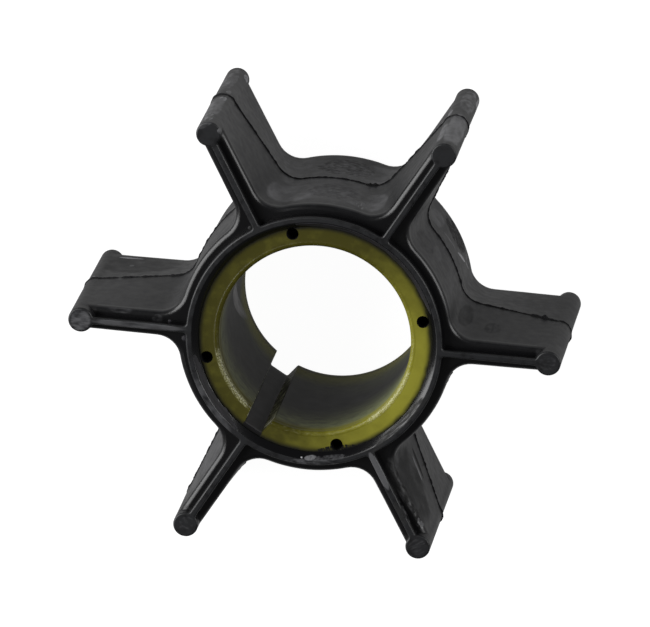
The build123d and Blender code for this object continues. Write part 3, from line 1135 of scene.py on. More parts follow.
@dataclass(frozen=True)
class PaintedHoleShadeAndFlashRubber:
    """Matt, fully black rubber of the parting flash, also laid on the pin holes' inner faces as painted shade.
    """

    colour: str = "#060508"
    paler_colour: str = "#0c0b10"
    roughness: float = 0.6
    grain: float = 0.5

    def make(self) -> Material:
        """Builds the material and returns it."""
        material, tree = new_material("painted_hole_shade_and_flash_rubber")
        place = add_node(tree, "ShaderNodeTexCoord").outputs["Object"]
        grain = speckle(tree, place, self.grain)
        tone = add_node(tree, MIX, grain, linear(self.colour), linear(self.paler_colour), **RGBA)
        shader = add_node(
            tree, "ShaderNodeBsdfPrincipled", {"Base Color": tone, "Roughness": self.roughness}
        )
        add_node(tree, "ShaderNodeOutputMaterial", {"Surface": shader})
        return material


@dataclass(frozen=True)
class SmearedBond:
    """Bonding rubber wiped up over the rim's mouth as it cured: a thin matt skin, greyer and faintly lilac."""

    colour: str = "#060608"
    paler_colour: str = "#201e25"
    roughness: float = 0.68
    streak: tuple[float, float, float] = (1.8, 1.8, 0.13)
    streak_levels: tuple[float, float] = (0.36, 0.66)
    streak_height: float = 0.03

    def make(self) -> Material:
        """Builds the material and returns it."""
        material, tree = new_material("smeared_bond")
        place = add_node(tree, "ShaderNodeTexCoord").outputs["Object"]
        streaks = speckle(tree, place, self.streak, detail=4.0)
        paler = add_node(tree, RANGE, streaks, *self.streak_levels, **SMOOTH)
        tone = add_node(tree, MIX, paler, linear(self.colour), linear(self.paler_colour), **RGBA)
        bump = add_node(
            tree, "ShaderNodeBump", {"Height": streaks, "Distance": self.streak_height * MM, "Strength": 1.0}
        )
        shader = add_node(
            tree,
            "ShaderNodeBsdfPrincipled",
            {"Base Color": tone, "Roughness": self.roughness, "Normal": bump},
        )
        add_node(tree, "ShaderNodeOutputMaterial", {"Surface": shader})
        return material


@dataclass
class RubberMoulding:
    """The rubber moulding: hub sleeve, six drafted vanes, and the rim, ribs and beads that seal."""

    length: float
    reach: float
    seat_radius: float
    vane_count: int = 6
    keyed_vane_angle: float = math.radians(-90)
    bead_radius: float = 1.62
    bead_step: float = 0.07
    hub_wall: float = 2.4
    hub_draft: float = 0.15
    root_fillet: float = 3.4
    end_root_thickness: float = 3.3
    parting_root_thickness: float = 6.55
    end_recess: float = 1.55
    end_edge_round: float = 0.7
    end_land_margin: float = 0.2
    lip_overlap: float = 0.42
    lip_land: float = 0.15
    lip_depth: float = 1.02
    rim_flare: float = 0.77
    rim_width: float = 0.8
    rib_width: float = 0.9
    corner_round: float = 0.4
    sealing_edge_round: float = 0.22
    mould_mismatch: float = 0.06
    mouth_edge_round: float = 0.12
    support: float = 0.03
    unevenness: float = 0.05
    patch: float = 4.0

    def __post_init__(self) -> None:
        """Works out the radii that follow from the driving sizes."""
        self.recess_inset = self.end_edge_round + self.support
        self.pitch = self.reach - self.bead_radius
        self.tip_half = self.bead_radius - self.bead_step
        self.hub_radius = self.seat_radius + self.hub_wall
        self.lip_radius = self.seat_radius - self.lip_overlap
        self.mouth_radius = self.lip_radius + self.rim_flare
        self.rim_radius = self.mouth_radius + self.rim_width
        self.half_sector = math.pi / self.vane_count

    def band_outline(self, parting_share: float, inset: float, proud: float = 0.0) -> np.ndarray:
        """Half plan of hub and vane, from the middle of a gap to the bead's tip.

        Args:
            parting_share: 0 at the end section and 1 at the parting line.
            inset: How far an edge round has drawn hub and flanks in.
            proud: How far this half of the mould stands out all round, bead included.

        Returns:
            Plan points of a vane that points along +X.
        """
        ends = [
            self._section(self.end_root_thickness, self.hub_radius, inset, proud),
            self._section(self.parting_root_thickness, self.hub_radius + self.hub_draft, inset, proud),
        ]
        return ends[0] + (ends[1] - ends[0]) * parting_share

    def _section(self, root_thickness: float, hub: float, inset: float, proud: float) -> np.ndarray:
        """Half plan of one drawn section of hub and vane.

        Args:
            root_thickness: Thickness that the vane's straight flanks would have at the hub.
            hub: Radius of the hub.
            inset: As for band_outline.
            proud: As for band_outline.

        Returns:
            Plan points of a vane that points along +X.
        """
        slope = (root_thickness / 2 - self.tip_half) / (self.pitch - hub)
        stretch = math.hypot(1, slope)
        drawn = inset - proud
        height = self.tip_half + slope * self.pitch - drawn * stretch
        blend = self.root_fillet + drawn
        bead = self.bead_radius + proud
        cx, cy = blend_centre(hub - drawn, height, slope, blend)
        centre_angle = math.atan2(cy, cx)
        hub_arc = arc((0, 0), hub - drawn, self.half_sector, centre_angle, HUB_POINTS + 1)[:-1]
        flank_angle = 1.5 * math.pi - math.atan(slope)
        root_arc = arc((cx, cy), blend, centre_angle + math.pi, flank_angle, ROOT_POINTS)
        middle = self.pitch + height * slope
        gap = self.pitch**2 + height**2 - bead**2
        meet_x = (middle - math.sqrt(middle**2 - stretch**2 * gap)) / stretch**2
        meet = np.array([meet_x, height - slope * meet_x])
        flank = straight(root_arc[-1], meet, FLANK_POINTS)
        meet_angle = math.atan2(meet[1], meet[0] - self.pitch)
        bead_arc = arc((self.pitch, 0), bead, meet_angle, 0, BEAD_POINTS)
        return np.concatenate([hub_arc, root_arc, flank, bead_arc])

    def column_outline(self, inset: float, proud: float = 0.0) -> np.ndarray:
        """Half plan of rim, rib and bead, with as many points as band_outline.

        Args:
            inset: How far an edge round has drawn the outline in.
            proud: How far this half of the mould stands out, on the bead alone.

        Returns:
            Plan points of a rib that points along +X.
        """
        half_rib = self.rib_width / 2 - inset
        corner = self.corner_round + inset
        rim, bead = self.rim_radius - inset, self.bead_radius + proud - inset
        cx, cy = blend_centre(rim, half_rib, 0.0, corner)
        centre_angle = math.atan2(cy, cx)
        rim_arc = arc((0, 0), rim, self.half_sector, centre_angle, RIM_POINTS + 1)[:-1]
        rim_corner = arc((cx, cy), corner, centre_angle + math.pi, 1.5 * math.pi, CORNER_POINTS)
        near_bead = self.pitch - math.sqrt((bead + corner) ** 2 - cy**2)
        bead_angle = math.atan2(-cy, self.pitch - near_bead)
        bead_corner = arc((near_bead, cy), corner, -math.pi / 2, bead_angle, CORNER_POINTS)
        rib = straight(rim_corner[-1], bead_corner[0], RIB_POINTS)
        meet = self.band_outline(0, self.recess_inset, proud)[-BEAD_POINTS]
        meet_angle = math.atan2(meet[1], meet[0] - self.pitch)
        inner_points = INNER_BEAD_POINTS + 2
        inner_arc = arc((self.pitch, 0), bead, math.pi + bead_angle, meet_angle, inner_points)[1:-1]
        bead_arc = arc((self.pitch, 0), bead, meet_angle, 0, BEAD_POINTS)
        return np.concatenate([rim_arc, rim_corner, rib, bead_corner, inner_arc, bead_arc])

    def end_rows(self, end: End, proud: float) -> list[np.ndarray]:
        """Rows of a sector from one sealing face to the parting line.

        Args:
            end: Which end the rows start from.
            proud: How far this half of the mould stands out.

        Returns:
            Rows of 3-D points, all of the same length.
        """
        quarter = np.linspace(0, math.pi / 2, CORNER_POINTS)
        sealing, edge = self.sealing_edge_round, self.end_edge_round
        rows = [(0.0, self.column_outline(sealing + self.support, proud))]
        rows += [
            (sealing * (1 - math.cos(a)), self.column_outline(sealing * (1 - math.sin(a)), proud))
            for a in quarter
        ]
        rows += [
            (z, self.column_outline(0, proud))
            for z in (sealing + self.support, self.end_recess - self.support, self.end_recess)
        ]
        rows.append((self.end_recess, self.band_outline(0, self.recess_inset, proud)))
        rows += [
            (
                self.end_recess + edge * (1 - math.cos(a)),
                self.band_outline(0, edge * (1 - math.sin(a)), proud),
            )
            for a in quarter
        ]
        land = self.end_recess + edge + self.end_land_margin
        rows += [
            (land + (self.length / 2 - land) * share, self.band_outline(share, 0, proud))
            for share in np.linspace(0, 1, RULED_ROWS)
        ]
        return [self._whole_row(outline, depth, end) for depth, outline in rows]

    def _whole_row(self, outline: np.ndarray, depth: float, end: End) -> np.ndarray:
        """Mirrors a half outline across the vane and sets it at a depth below one end."""
        mirrored = outline[-2::-1] * (1, -1)
        return level(np.concatenate([outline, mirrored]), end.height(0.0, self.length, depth))

    def mouth_rows(self, end: End) -> list[np.ndarray]:
        """Rows of a sector from the rim's inner edge down its flare and under the lip.

        Args:
            end: Which end the rows start from.

        Returns:
            Rows of 3-D points over the sector's arc.
        """
        edge, land_top = self.mouth_edge_round, self.lip_depth - self.lip_land
        fall = self.rim_flare / land_top
        flare_start = edge * (1 - math.sin(math.pi / 4))
        profile = [
            (self.mouth_radius + edge + self.support, 0.0),
            (self.mouth_radius + edge, 0.0),
            (self.mouth_radius + edge / 3, flare_start),
            (self.mouth_radius - edge * fall, edge),
            (self.lip_radius + self.support, land_top - self.support),
            (self.lip_radius, land_top),
            (self.lip_radius, self.lip_depth - self.support),
            (self.lip_radius + self.support, self.lip_depth),
            (self.seat_radius, self.lip_depth),
        ]
        half = self.half_sector
        return [
            level(arc((0, 0), radius, half, -half, MOUTH_POINTS), end.height(0.0, self.length, depth))
            for radius, depth in profile
        ]

    def sector(self) -> Object:
        """Builds one vane's sector of the moulding, with the vane along +X, and returns it."""
        sheet = MeshSheet()
        outside = self.end_rows(End.LOWER, 0.0) + self.end_rows(End.UPPER, self.mould_mismatch)[::-1]
        inside = self.mouth_rows(End.LOWER) + self.mouth_rows(End.UPPER)[::-1]
        outer = sheet.join(outside)
        inner = sheet.join([row[::-1] for row in inside])
        sheet.cap(inner[0] + outer[0], outer[-1] + inner[-1])
        return sheet.to_object("rubber_moulding")

    def build(self, ring: Tree, rubber: Material) -> Object:
        """Repeats the sector round the shaft axis as one moulding.

        Args:
            ring: Geometry nodes that repeat a sector.
            rubber: Finish of the moulding.

        Returns:
            The moulding, as a plain mesh.
        """
        values = {
            "Count": self.vane_count,
            "Start Angle": self.keyed_vane_angle,
            "Unevenness": self.unevenness * MM,
            "Patch Scale": per_size(self.patch),
            "Material": rubber,
        }
        return run_tree(self.sector(), ring, values)

    def parting_line(self) -> np.ndarray:
        """Closed line of points along the parting line, round hub, vanes and beads."""
        parting = self.band_outline(1, 0, self.mould_mismatch)
        outline = self._whole_row(parting, self.length / 2, End.LOWER)[:-1]
        points = []
        for vane in range(self.vane_count):
            angle = self.keyed_vane_angle - vane * 2 * self.half_sector
            points.append(np.column_stack([turned(outline[:, :2], angle), outline[:, 2]]))
        return np.concatenate(points)[::-1]


@dataclass
class Bushing:
    """The resin bushing: bore with a rounded lead-in at each end, keyway and locating-pin holes."""

    low: float
    high: float
    radius: float
    bore_radius: float
    keyway_angle: float = math.radians(-90)
    lead_in_width: float = 0.55
    lead_in_depth: float = 1.2
    mouth_width: float = 3.5
    floor_width: float = 2.75
    floor_wall: float = 0.95
    floor_round: float = 0.3
    edge_round: float = 0.12
    face_round: float = 0.48
    pin_hole_radius: float = 0.83
    pin_hole_depth: float = 4.0
    pin_hole_count: int = 4
    lip_overlap: float = 0.37
    support: float = 0.03

    def inner_outline(self, bore: float) -> np.ndarray:
        """Closed plan of bore and keyway, for a keyway that points along +X.

        Args:
            bore: Radius of the bore at this height.

        Returns:
            Plan points, from the side away from the keyway and back to it.
        """
        floor = self.radius - self.floor_wall
        slope = (self.mouth_width - self.floor_width) / 2 / (floor - self.bore_radius)
        height = self.floor_width / 2 + slope * floor
        cx, cy = blend_centre(bore, height, slope, self.edge_round)
        centre_angle = math.atan2(cy, cx)
        bore_arc = arc((0, 0), bore, math.pi, centre_angle, BORE_POINTS + 1)[:-1]
        wall_angle = 1.5 * math.pi - math.atan(slope)
        edge = arc((cx, cy), self.edge_round, centre_angle + math.pi, wall_angle, CORNER_POINTS)
        corner_x = floor - self.floor_round
        corner_y = height - slope * corner_x - self.floor_round * math.hypot(1, slope)
        corner = arc((corner_x, corner_y), self.floor_round, math.atan2(1, slope), 0, CORNER_POINTS)
        wall = straight(edge[-1], corner[0], WALL_POINTS)
        floor_line = straight(corner[-1], corner[-1] * (1, 0), FLOOR_POINTS)
        half = np.concatenate([bore_arc, edge, wall, corner, floor_line, [[floor, 0.0]]])
        return np.concatenate([half, half[-2:0:-1] * (1, -1)])

    def outer_outline(self, inner: np.ndarray, radius: float) -> np.ndarray:
        """Points of a circle that face the points of an inner outline."""
        angles = np.arctan2(inner[:, 1], inner[:, 0])
        return np.stack([radius * np.cos(angles), radius * np.sin(angles)], 1)

    def end_rows(self, end: End) -> list[np.ndarray]:
        """Rows from the middle of the bore over one end face to the outer wall.

        Args:
            end: Which end the rows go to.

        Returns:
            Closed rows of 3-D points.
        """
        lead_top = self.bore_radius + self.lead_in_width - self.face_round
        slope = (self.lead_in_width - self.face_round) / (self.lead_in_depth - self.face_round)
        profile = [
            (self.bore_radius, self.lead_in_depth + self.support),
            (self.bore_radius, self.lead_in_depth),
            (self.bore_radius + slope * self.support, self.lead_in_depth - self.support),
        ]
        profile += [
            (lead_top + self.face_round * (1 - math.cos(a)), self.face_round * (1 - math.sin(a)))
            for a in np.linspace(math.atan(slope), math.pi / 2, LEAD_IN_POINTS)
        ]
        profile.append((lead_top + self.face_round + self.support, 0.0))
        inner = [(self.inner_outline(r), depth) for r, depth in profile]
        last = inner[-1][0]
        face = [
            (self.outer_outline(last, self.radius - self.edge_round - self.support), 0.0),
            (self.outer_outline(last, self.radius - self.edge_round), 0.0),
            (self.outer_outline(last, self.radius), self.edge_round),
        ]
        return [
            level(turned(outline, self.keyway_angle), end.height(self.low, self.high, depth))
            for outline, depth in inner + face
        ]

    def pin_hole_cutter(self, ring: Tree, skin: Material) -> Object:
        """Ring of pins at both ends that cut the locating-pin holes.

        Args:
            ring: Geometry nodes that repeat a sector.
            skin: Near-black finish painted on the holes' inner faces as their shade.

        Returns:
            The cutting object.
        """
        sheet = MeshSheet()
        pitch = self.radius - self.lip_overlap - self.pin_hole_radius
        circle = arc((pitch, 0), self.pin_hole_radius, 0, math.tau, PIN_POINTS + 1)[:-1]
        depths = (-self.pin_hole_radius, self.pin_hole_depth)
        for end in End:
            rows = [level(circle, end.height(self.low, self.high, depth)) for depth in depths]
            sheet.cap(*sheet.join(rows, closed=True))
        half_step = math.pi / self.pin_hole_count
        values = {
            "Count": self.pin_hole_count,
            "Start Angle": self.keyway_angle + half_step,
            "Unevenness": 0.0,
            "Material": skin,
        }
        return run_tree(sheet.to_object("pin_hole_cutter"), ring, values)

    def build(self, ring: Tree, resin: Material, skin: Material) -> Object:
        """Builds the bushing and cuts its pin holes.

        Args:
            ring: Geometry nodes that repeat a sector.
            resin: Finish of the bushing.
            skin: Near-black finish painted on the holes' inner faces as their shade.

        Returns:
            The bushing, as a plain mesh.
        """
        sheet = MeshSheet()
        rows = self.end_rows(End.LOWER)[::-1] + self.end_rows(End.UPPER)
        sheet.join(rows + rows[:1], closed=True)
        made = sheet.to_object("resin_bushing")
        made.data.materials.append(resin)
        close_and_smooth(made.data)
        cutter = self.pin_hole_cutter(ring, skin)
        cut = made.modifiers.new("pin_holes", "BOOLEAN")
        cut.operation = "DIFFERENCE"
        cut.solver = "EXACT"
        cut.material_mode = "TRANSFER"
        cut.object = cutter
        bake_modifiers(made)
        bpy.data.objects.remove(cutter)
        return made


@dataclass(frozen=True)
class FlashEvent:
    """A place where the flash is torn off or stands taller.

    Attributes:
        angle: Its direction from the shaft axis, in degrees.
        radius: Its distance from the shaft axis.
        growth: Height of the fin there, as a multiple of its usual height.
        spread: Distance over which it comes back to its usual height.
    """

    angle: float
    radius: float
    growth: float
    spread: float

    def change_at(self, points: np.ndarray) -> np.ndarray:
        """Change of the growth at each of a row of points.

        Args:
            points: Points with their plan places first.

        Returns:
            What the event adds to a growth of 1.
        """
        angle = math.radians(self.angle)
        centre = np.array([math.cos(angle), math.sin(angle)]) * self.radius
        distance = np.linalg.norm(points[:, :2] - centre, axis=1)
        return (self.growth - 1) * np.exp(-((distance / self.spread) ** 2))


@dataclass
class PartingFlash:
    """Thin fin of rubber squeezed out between the mould halves, nicked where it was torn off.

    Attributes:
        height: Height of the fin off the rubber.
        thickness: Thickness of the fin.
        rooted_share: Depth of the fin's foot in the rubber, as a share of its height.
        growth: Least and greatest height between the nicks, as multiples of the height.
        nick: Size of a nick.
        spacing: Distance between the points that it is swept along.
        events: Places that differ from the rest.
    """

    height: float = 0.17
    thickness: float = 0.1
    rooted_share: float = 0.5
    growth: tuple[float, float] = (0.5, 1.25)
    nick: float = 0.5
    spacing: float = 0.25
    events: tuple[FlashEvent, ...] = (
        # Lumps on the vane at 30 degrees and near the root of the vane at 90 degrees
        FlashEvent(33.7, 29.3, 3.4, 0.35),
        FlashEvent(33.8, 28.3, 2.4, 0.5),
        FlashEvent(34.2, 25.9, 0.1, 0.45),
        FlashEvent(103.4, 18.9, 2.8, 0.25),
        FlashEvent(105.6, 18.7, 2.4, 0.25),
        FlashEvent(96.5, 21.5, 1.5, 0.5),
        # Breaks along the flank of the vane at -150 degrees
        FlashEvent(-154.0, 28.4, 0.1, 0.35),
        FlashEvent(-154.4, 26.0, 0.2, 0.5),
        FlashEvent(-155.3, 23.6, 0.1, 0.4),
        FlashEvent(-156.4, 22.0, 0.2, 0.3),
        # Lump beside the scratches of the vane at -30 degrees
        FlashEvent(-23.9, 25.0, 1.8, 0.3),
    )

    def build(self, line: np.ndarray, tree: Tree, skin: Material) -> Object:
        """Sweeps the fin along the parting line.

        Args:
            line: Closed line of points in the parting plane.
            tree: Geometry nodes that sweep a fin.
            skin: Finish of the fin.

        Returns:
            The fin, as a plain mesh.
        """
        points = self._even(line)
        count = len(points)
        mesh = bpy.data.meshes.new("parting_flash")
        mesh.from_pydata((points * MM).tolist(), [(i, (i + 1) % count) for i in range(count)], [])
        growth = mesh.attributes.new("growth", "FLOAT", "POINT")
        growth.data.foreach_set("value", self._growth(points).astype(np.float32))
        values = {
            "Height": self.height * MM,
            "Thickness": self.thickness * MM,
            "Rooted Share": self.rooted_share,
            "Least Growth": self.growth[0],
            "Most Growth": self.growth[1],
            "Nick Scale": per_size(self.nick),
            "Material": skin,
        }
        return run_tree(add_object("parting_flash", mesh), tree, values)

    def _growth(self, points: np.ndarray) -> np.ndarray:
        """Growth of the fin at each point, changed near the events.

        Args:
            points: Points along the parting line.

        Returns:
            One value for each point.
        """
        growth = np.ones(len(points))
        for event in self.events:
            growth += event.change_at(points)
        return growth

    def _even(self, line: np.ndarray) -> np.ndarray:
        """Spaces points evenly along a closed line.

        Args:
            line: Corners of the line.

        Returns:
            The points.
        """
        closed = np.vstack([line, line[:1]])
        steps = np.linalg.norm(np.diff(closed, axis=0), axis=1)
        along = np.concatenate([[0], np.cumsum(steps)])
        count = round(along[-1] / self.spacing)
        places = np.linspace(0, along[-1], count, endpoint=False)
        return np.stack([np.interp(places, along, closed[:, i]) for i in range(3)], 1)


@dataclass(frozen=True)
class BondFilm:
    """Where one skin of smeared bond lies on the rim's flared mouth.

    Attributes:
        start: Direction at which it starts, in degrees round the shaft.
        stop: Direction at which it ends.
        reach: How far it comes down the flare, from the rim's edge.
        raggedness: How far its lower edge wanders.
    """

    start: float
    stop: float
    reach: float
    raggedness: float


@dataclass
class BondSmears:
    """Skins of bonding rubber on the upper rim's mouth, with ragged lower edges.

    Attributes:
        height: Height of the upper sealing face.
        mouth_radius: Radius of the rim's inner edge.
        lip_radius: Radius of the lip at the foot of the flare.
        lip_drop: Depth of that foot below the sealing face.
        overlap: How far a skin may run out over the bushing's border.
        overlap_drop: How far the skin sinks as it runs out.
        start_margin: Distance of a skin's upper edge from the rim's inner edge.
        thickness: Distance that its outside stands off the surface.
        sunk: Depth of its underside in the surface.
        step: Degrees from one section to the next.
        wander: Radians over which the lower edge wanders once.
        fine_wander: How many times finer the small wandering is.
        fine_share: Share of the small wandering.
        end_steps: Sections over which a skin comes to its full reach.
        end_share: Share of its reach that it has at its very ends.
        films: The skins.
    """

    height: float
    mouth_radius: float
    lip_radius: float
    lip_drop: float
    overlap: float = 0.45
    overlap_drop: float = 0.12
    start_margin: float = 0.08
    thickness: float = 0.06
    sunk: float = 0.04
    step: float = 0.6
    wander: float = 0.16
    fine_wander: float = 4.0
    fine_share: float = 0.5
    end_steps: int = 14
    end_share: float = 0.35
    films: tuple[BondFilm, ...] = (
        BondFilm(49.0, 132.0, 0.95, 0.2),
        BondFilm(-138.0, -96.0, 1.1, 0.35),
    )

    def _slope(self, along: np.ndarray, lift: float) -> np.ndarray:
        """Points down the mouth and out over the bushing's border, lifted off them.

        Args:
            along: Distances down from the rim's edge.
            lift: Distance off the surface.

        Returns:
            Radii and heights.
        """
        corners = np.array(
            [
                (self.mouth_radius, 0.0),
                (self.lip_radius, self.lip_drop),
                (self.lip_radius - self.overlap, self.lip_drop + self.overlap_drop),
            ]
        )
        runs = np.concatenate([[0], np.cumsum(np.linalg.norm(np.diff(corners, axis=0), axis=1))])
        radius = np.interp(along, runs, corners[:, 0]) - lift * math.sqrt(0.5)
        drop = np.interp(along, runs, corners[:, 1]) - lift * math.sqrt(0.5)
        return np.stack([radius, self.height - drop], 1)

    def _reach(self, film: BondFilm, angle: float, fullness: float) -> float:
        """How far a skin comes down the mouth at one place.

        Args:
            film: The skin.
            angle: Direction in radians.
            fullness: 0 at either end of the skin and 1 or more once it is at its full reach.

        Returns:
            Distance down from the rim's edge.
        """
        along = angle / self.wander
        wave = noise.noise(Vector((along, film.reach, 0.0)))
        wave += self.fine_share * noise.noise(Vector((along * self.fine_wander, film.reach, 1.0)))
        swelling = min(1.0, self.end_share + (1 - self.end_share) * fullness)
        return (film.reach + film.raggedness * wave) * swelling

    def _section(self, angle: float, reach: float) -> np.ndarray:
        """Closed section of a skin at one direction.

        Args:
            angle: Direction in radians.
            reach: How far the skin comes down the mouth.

        Returns:
            Row of 3-D points.
        """
        along = np.linspace(self.start_margin, max(reach, self.start_margin * 2), FILM_POINTS)
        outside = self._slope(along, self.thickness)
        under = self._slope(along[::-1], -self.sunk)
        ring = np.concatenate([outside, under])
        return np.column_stack([ring[:, 0] * math.cos(angle), ring[:, 0] * math.sin(angle), ring[:, 1]])

    def build(self, finish: Material) -> Object:
        """Builds the skins as one piece.

        Args:
            finish: Finish of the skins.

        Returns:
            The piece.
        """
        sheet = MeshSheet()
        for film in self.films:
            count = round((film.stop - film.start) / self.step)
            rows = []
            for i in range(count + 1):
                angle = math.radians(film.start + (film.stop - film.start) * i / count)
                reach = self._reach(film, angle, min(i, count - i) / self.end_steps)
                rows.append(self._section(angle, reach))
            numbers = sheet.join(rows, closed=True)
            sheet.cap(numbers[0], numbers[-1])
        made = sheet.to_object("bond_smears")
        made.data.materials.append(finish)
        close_and_smooth(made.data)
        return made


@dataclass
class MouldNibs:
    """Small nibs of rubber that the mould's vents left on the upper recess floor.

    Attributes:
        floor: Height of the recess floor.
        flatness: Height of a nib as a share of its radius.
        nibs: Distance from the shaft axis, direction in degrees and radius of each.
    """

    floor: float
    flatness: float = 0.4
    nibs: tuple[tuple[float, float, float], ...] = (
        (17.3, 153.4, 0.34),
        (17.5, -144.6, 0.45),
        (19.6, -151.6, 0.24),
    )

    def build(self, finish: Material) -> Object:
        """Builds the nibs as one piece.

        Args:
            finish: Finish of the nibs.

        Returns:
            The piece.
        """
        sheet = bmesh.new()
        for radius, direction, size in self.nibs:
            angle = math.radians(direction)
            place = Matrix.Translation(
                Vector((radius * math.cos(angle), radius * math.sin(angle), self.floor)) * MM
            )
            squash = Matrix.Diagonal((1.0, 1.0, self.flatness, 1.0))
            bmesh.ops.create_icosphere(sheet, subdivisions=3, radius=size * MM, matrix=place @ squash)
        mesh = bpy.data.meshes.new("mould_nibs")
        sheet.to_mesh(mesh)
        sheet.free()
        mesh.materials.append(finish)
        mesh.shade_smooth()
        return add_object("mould_nibs", mesh)


@dataclass(frozen=True)
class Softbox:
    """A rectangular soft light, aimed at the shaft's foot.

    Attributes:
        name: Name of the light.
        direction: Direction that it stands in.
        distance: Distance in metres.
        size: Width and height in metres.
        share: Share of a white level surface's full brightness that it gives.
    """

    name: str
    direction: tuple[float, float, float]
    distance: float
    size: tuple[float, float]
    share: float

    def build(self) -> None:
        """Adds the light to the scene."""
        place = Vector(self.direction).normalized()
        light = bpy.data.lights.new(self.name, "AREA")
        light.shape = "RECTANGLE"
        light.size, light.size_y = self.size
        light.energy = math.pi**2 * self.distance**2 * self.share / place.z
        aim = place.to_track_quat("Z", "Y").to_matrix().to_4x4()
        add_object(self.name, light).matrix_world = Matrix.Translation(place * self.distance) @ aim


@dataclass(frozen=True)
class PhotoCamera:
    """The photograph's camera: high above the upper face, a long way off and turned.

    Attributes:
        elevation: Height above the level, in degrees.
        azimuth: Direction that it stands in, in degrees from -Y.
        roll: Turn about its own axis, in degrees.
        target: Place that it looks at.
        distance: Distance from that place.
        lens: Focal length.
        sensor_width: Width of its sensor.
        clip: Nearest and furthest distance that it sees, as shares of its distance from the target.
    """

    elevation: float = 72.444
    azimuth: float = -169.597
    roll: float = -155.901
    target: tuple[float, float, float] = (-0.079, -0.374, 14.812)
    distance: float = 1168.8
    lens: float = 480.8
    sensor_width: float = 36.0
    clip: tuple[float, float] = (0.1, 10.0)

    def build(self) -> None:
        """Adds the camera to the scene as the one in use."""
        elevation, azimuth, roll = (math.radians(a) for a in (self.elevation, self.azimuth, self.roll))
        out = math.cos(elevation)
        back = Vector((out * math.sin(azimuth), -out * math.cos(azimuth), math.sin(elevation)))
        right = Vector((0, 0, 1)).cross(back).normalized()
        axes = Matrix((right, back.cross(right), back)).transposed() @ Matrix.Rotation(roll, 3, "Z")
        distance = self.distance * MM
        camera = bpy.data.cameras.new("camera")
        camera.lens = self.lens
        camera.sensor_width = self.sensor_width
        camera.clip_start, camera.clip_end = (distance * share for share in self.clip)
        holder = add_object("camera", camera)
        holder.matrix_world = Matrix.Translation(Vector(self.target) * MM + back * distance) @ axes.to_4x4()
        bpy.context.scene.camera = holder


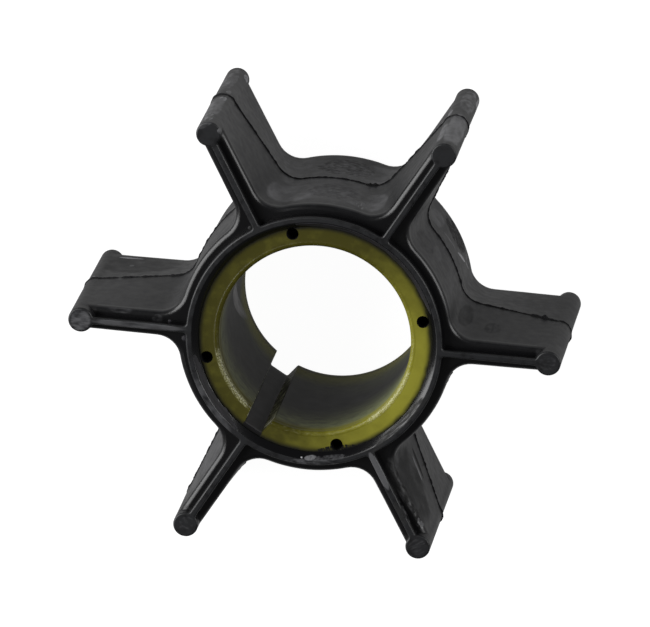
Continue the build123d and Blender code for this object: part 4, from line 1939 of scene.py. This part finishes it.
@dataclass
class Studio:
    """White floor, a softbox on either side, and the photograph's camera."""

    floor_size: float = 4.0
    floor_tone: float = 0.2
    backdrop: float = 1.17
    gloss_share: float = 0.26
    surroundings: float = 0.08
    softboxes: tuple[Softbox, ...] = (
        Softbox("key_softbox", (-0.80, -0.26, 0.55), 0.8, (0.65, 0.8), 0.75),
        Softbox("fill_softbox", (0.50, 0.68, 0.50), 0.9, (0.5, 0.6), 0.26),
    )
    camera: PhotoCamera = PhotoCamera()

    def build(self) -> None:
        """Builds floor, lights, world and camera."""
        self._floor()
        self._world()
        for softbox in self.softboxes:
            softbox.build()
        self.camera.build()
        bpy.context.scene.view_settings.view_transform = "Standard"

    def _seen_directly(self, tree: Tree) -> Node:
        """Adds the share of the backdrop's glow that a ray sees.

        Args:
            tree: Tree of a material.

        Returns:
            1 for rays from the camera or a clear body, less for a gloss and 0 for the rest.
        """
        path = add_node(tree, "ShaderNodeLightPath").outputs
        gloss = add_node(tree, MATH, path["Is Glossy Ray"], self.gloss_share, operation="MULTIPLY")
        rays = (path["Is Camera Ray"], path["Is Transmission Ray"])
        direct = add_node(tree, MATH, *rays, operation="MAXIMUM")
        return add_node(tree, MATH, direct, gloss, operation="MAXIMUM")

    def _floor(self) -> None:
        """White floor that glows for the camera and still takes the object's shadow."""
        material, tree = new_material("white_floor")
        seen = self._seen_directly(tree)
        strength = add_node(tree, MATH, seen, self.backdrop - self.floor_tone, operation="MULTIPLY")
        diffuse = add_node(tree, "ShaderNodeBsdfDiffuse", {"Color": (self.floor_tone,) * 3 + (1.0,)})
        glow = add_node(tree, "ShaderNodeEmission", {"Strength": strength})
        both = add_node(tree, "ShaderNodeAddShader", diffuse, glow)
        add_node(tree, "ShaderNodeOutputMaterial", {"Surface": both})
        half = self.floor_size / 2
        mesh = bpy.data.meshes.new("floor")
        corners = [(-half, -half, 0), (half, -half, 0), (half, half, 0), (-half, half, 0)]
        mesh.from_pydata(corners, [], [(0, 1, 2, 3)])
        mesh.materials.append(material)
        add_object("floor", mesh)

    def _world(self) -> None:
        """Even grey surroundings, white where the camera sees past the floor."""
        world = bpy.data.worlds.new("studio")
        world.use_nodes = True
        tree = world.node_tree
        tree.nodes.clear()
        seen = add_node(tree, "ShaderNodeLightPath").outputs["Is Camera Ray"]
        strength = add_node(tree, RANGE, {"Value": seen, "To Min": self.surroundings, "To Max": 1.0})
        white = (1.0, 1.0, 1.0, 1.0)
        background = add_node(tree, "ShaderNodeBackground", {"Color": white, "Strength": strength})
        add_node(tree, "ShaderNodeOutputWorld", {"Surface": background})
        bpy.context.scene.world = world


def finish_piece(piece: Object, slot: Slot, node: str | None = None) -> None:
    """Puts a piece on the impeller's one body and reports it.

    Args:
        piece: Finished piece.
        slot: Material slot of the record that it stands for, named in the log.
        node: Packed node that it stands for, if any.
    """
    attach(piece, BODY)
    if node is not None:
        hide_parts(node)
    mesh = piece.data
    mesh.calc_loop_triangles()
    log.info("%s: %d triangles, %s", piece.name, len(mesh.loop_triangles), slot.value)


def main() -> None:
    """Builds the impeller's pieces and the studio."""
    logging.basicConfig(level=logging.INFO, format="%(name)s %(message)s")
    rubber_high = Vector(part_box("rubber_body")[1]) / MM
    insert_low, insert_high = (Vector(c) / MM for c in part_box("hub_insert"))
    bore = next(m for m in frame["record"]["mounts"] if m["name"] == "bore")
    insert_radius = insert_high.x
    # Black flash rubber, also painted on the pin holes' inner faces as their shade
    skin = PaintedHoleShadeAndFlashRubber().make()
    ring = ring_tree()
    moulding = RubberMoulding(
        length=rubber_high.z, reach=rubber_high.y, seat_radius=insert_radius + BOND_FILM
    )
    rubber = MouldedNeoprene(moulding.length, moulding.mouth_radius).make()
    finish_piece(moulding.build(ring, rubber), Slot.RUBBER, "rubber_body")
    flash = PartingFlash().build(moulding.parting_line(), flash_tree(), skin)
    finish_piece(flash, Slot.RUBBER)
    smears = BondSmears(
        height=moulding.length,
        mouth_radius=moulding.mouth_radius,
        lip_radius=moulding.lip_radius,
        lip_drop=moulding.lip_depth - moulding.lip_land,
    )
    bond = SmearedBond().make()
    finish_piece(smears.build(bond), Slot.RUBBER)
    nibs = MouldNibs(floor=moulding.length - moulding.end_recess)
    finish_piece(nibs.build(bond), Slot.RUBBER)
    bushing = Bushing(
        low=insert_low.z, high=insert_high.z, radius=insert_radius, bore_radius=bore["dims"]["r_mm"]
    )
    resin = MouldedResin(bushing.low, bushing.high, bushing.radius, bushing.bore_radius).make()
    finish_piece(bushing.build(ring, resin, skin), Slot.RESIN, "hub_insert")
    Studio().build()


if __name__ == "__main__":
    main()
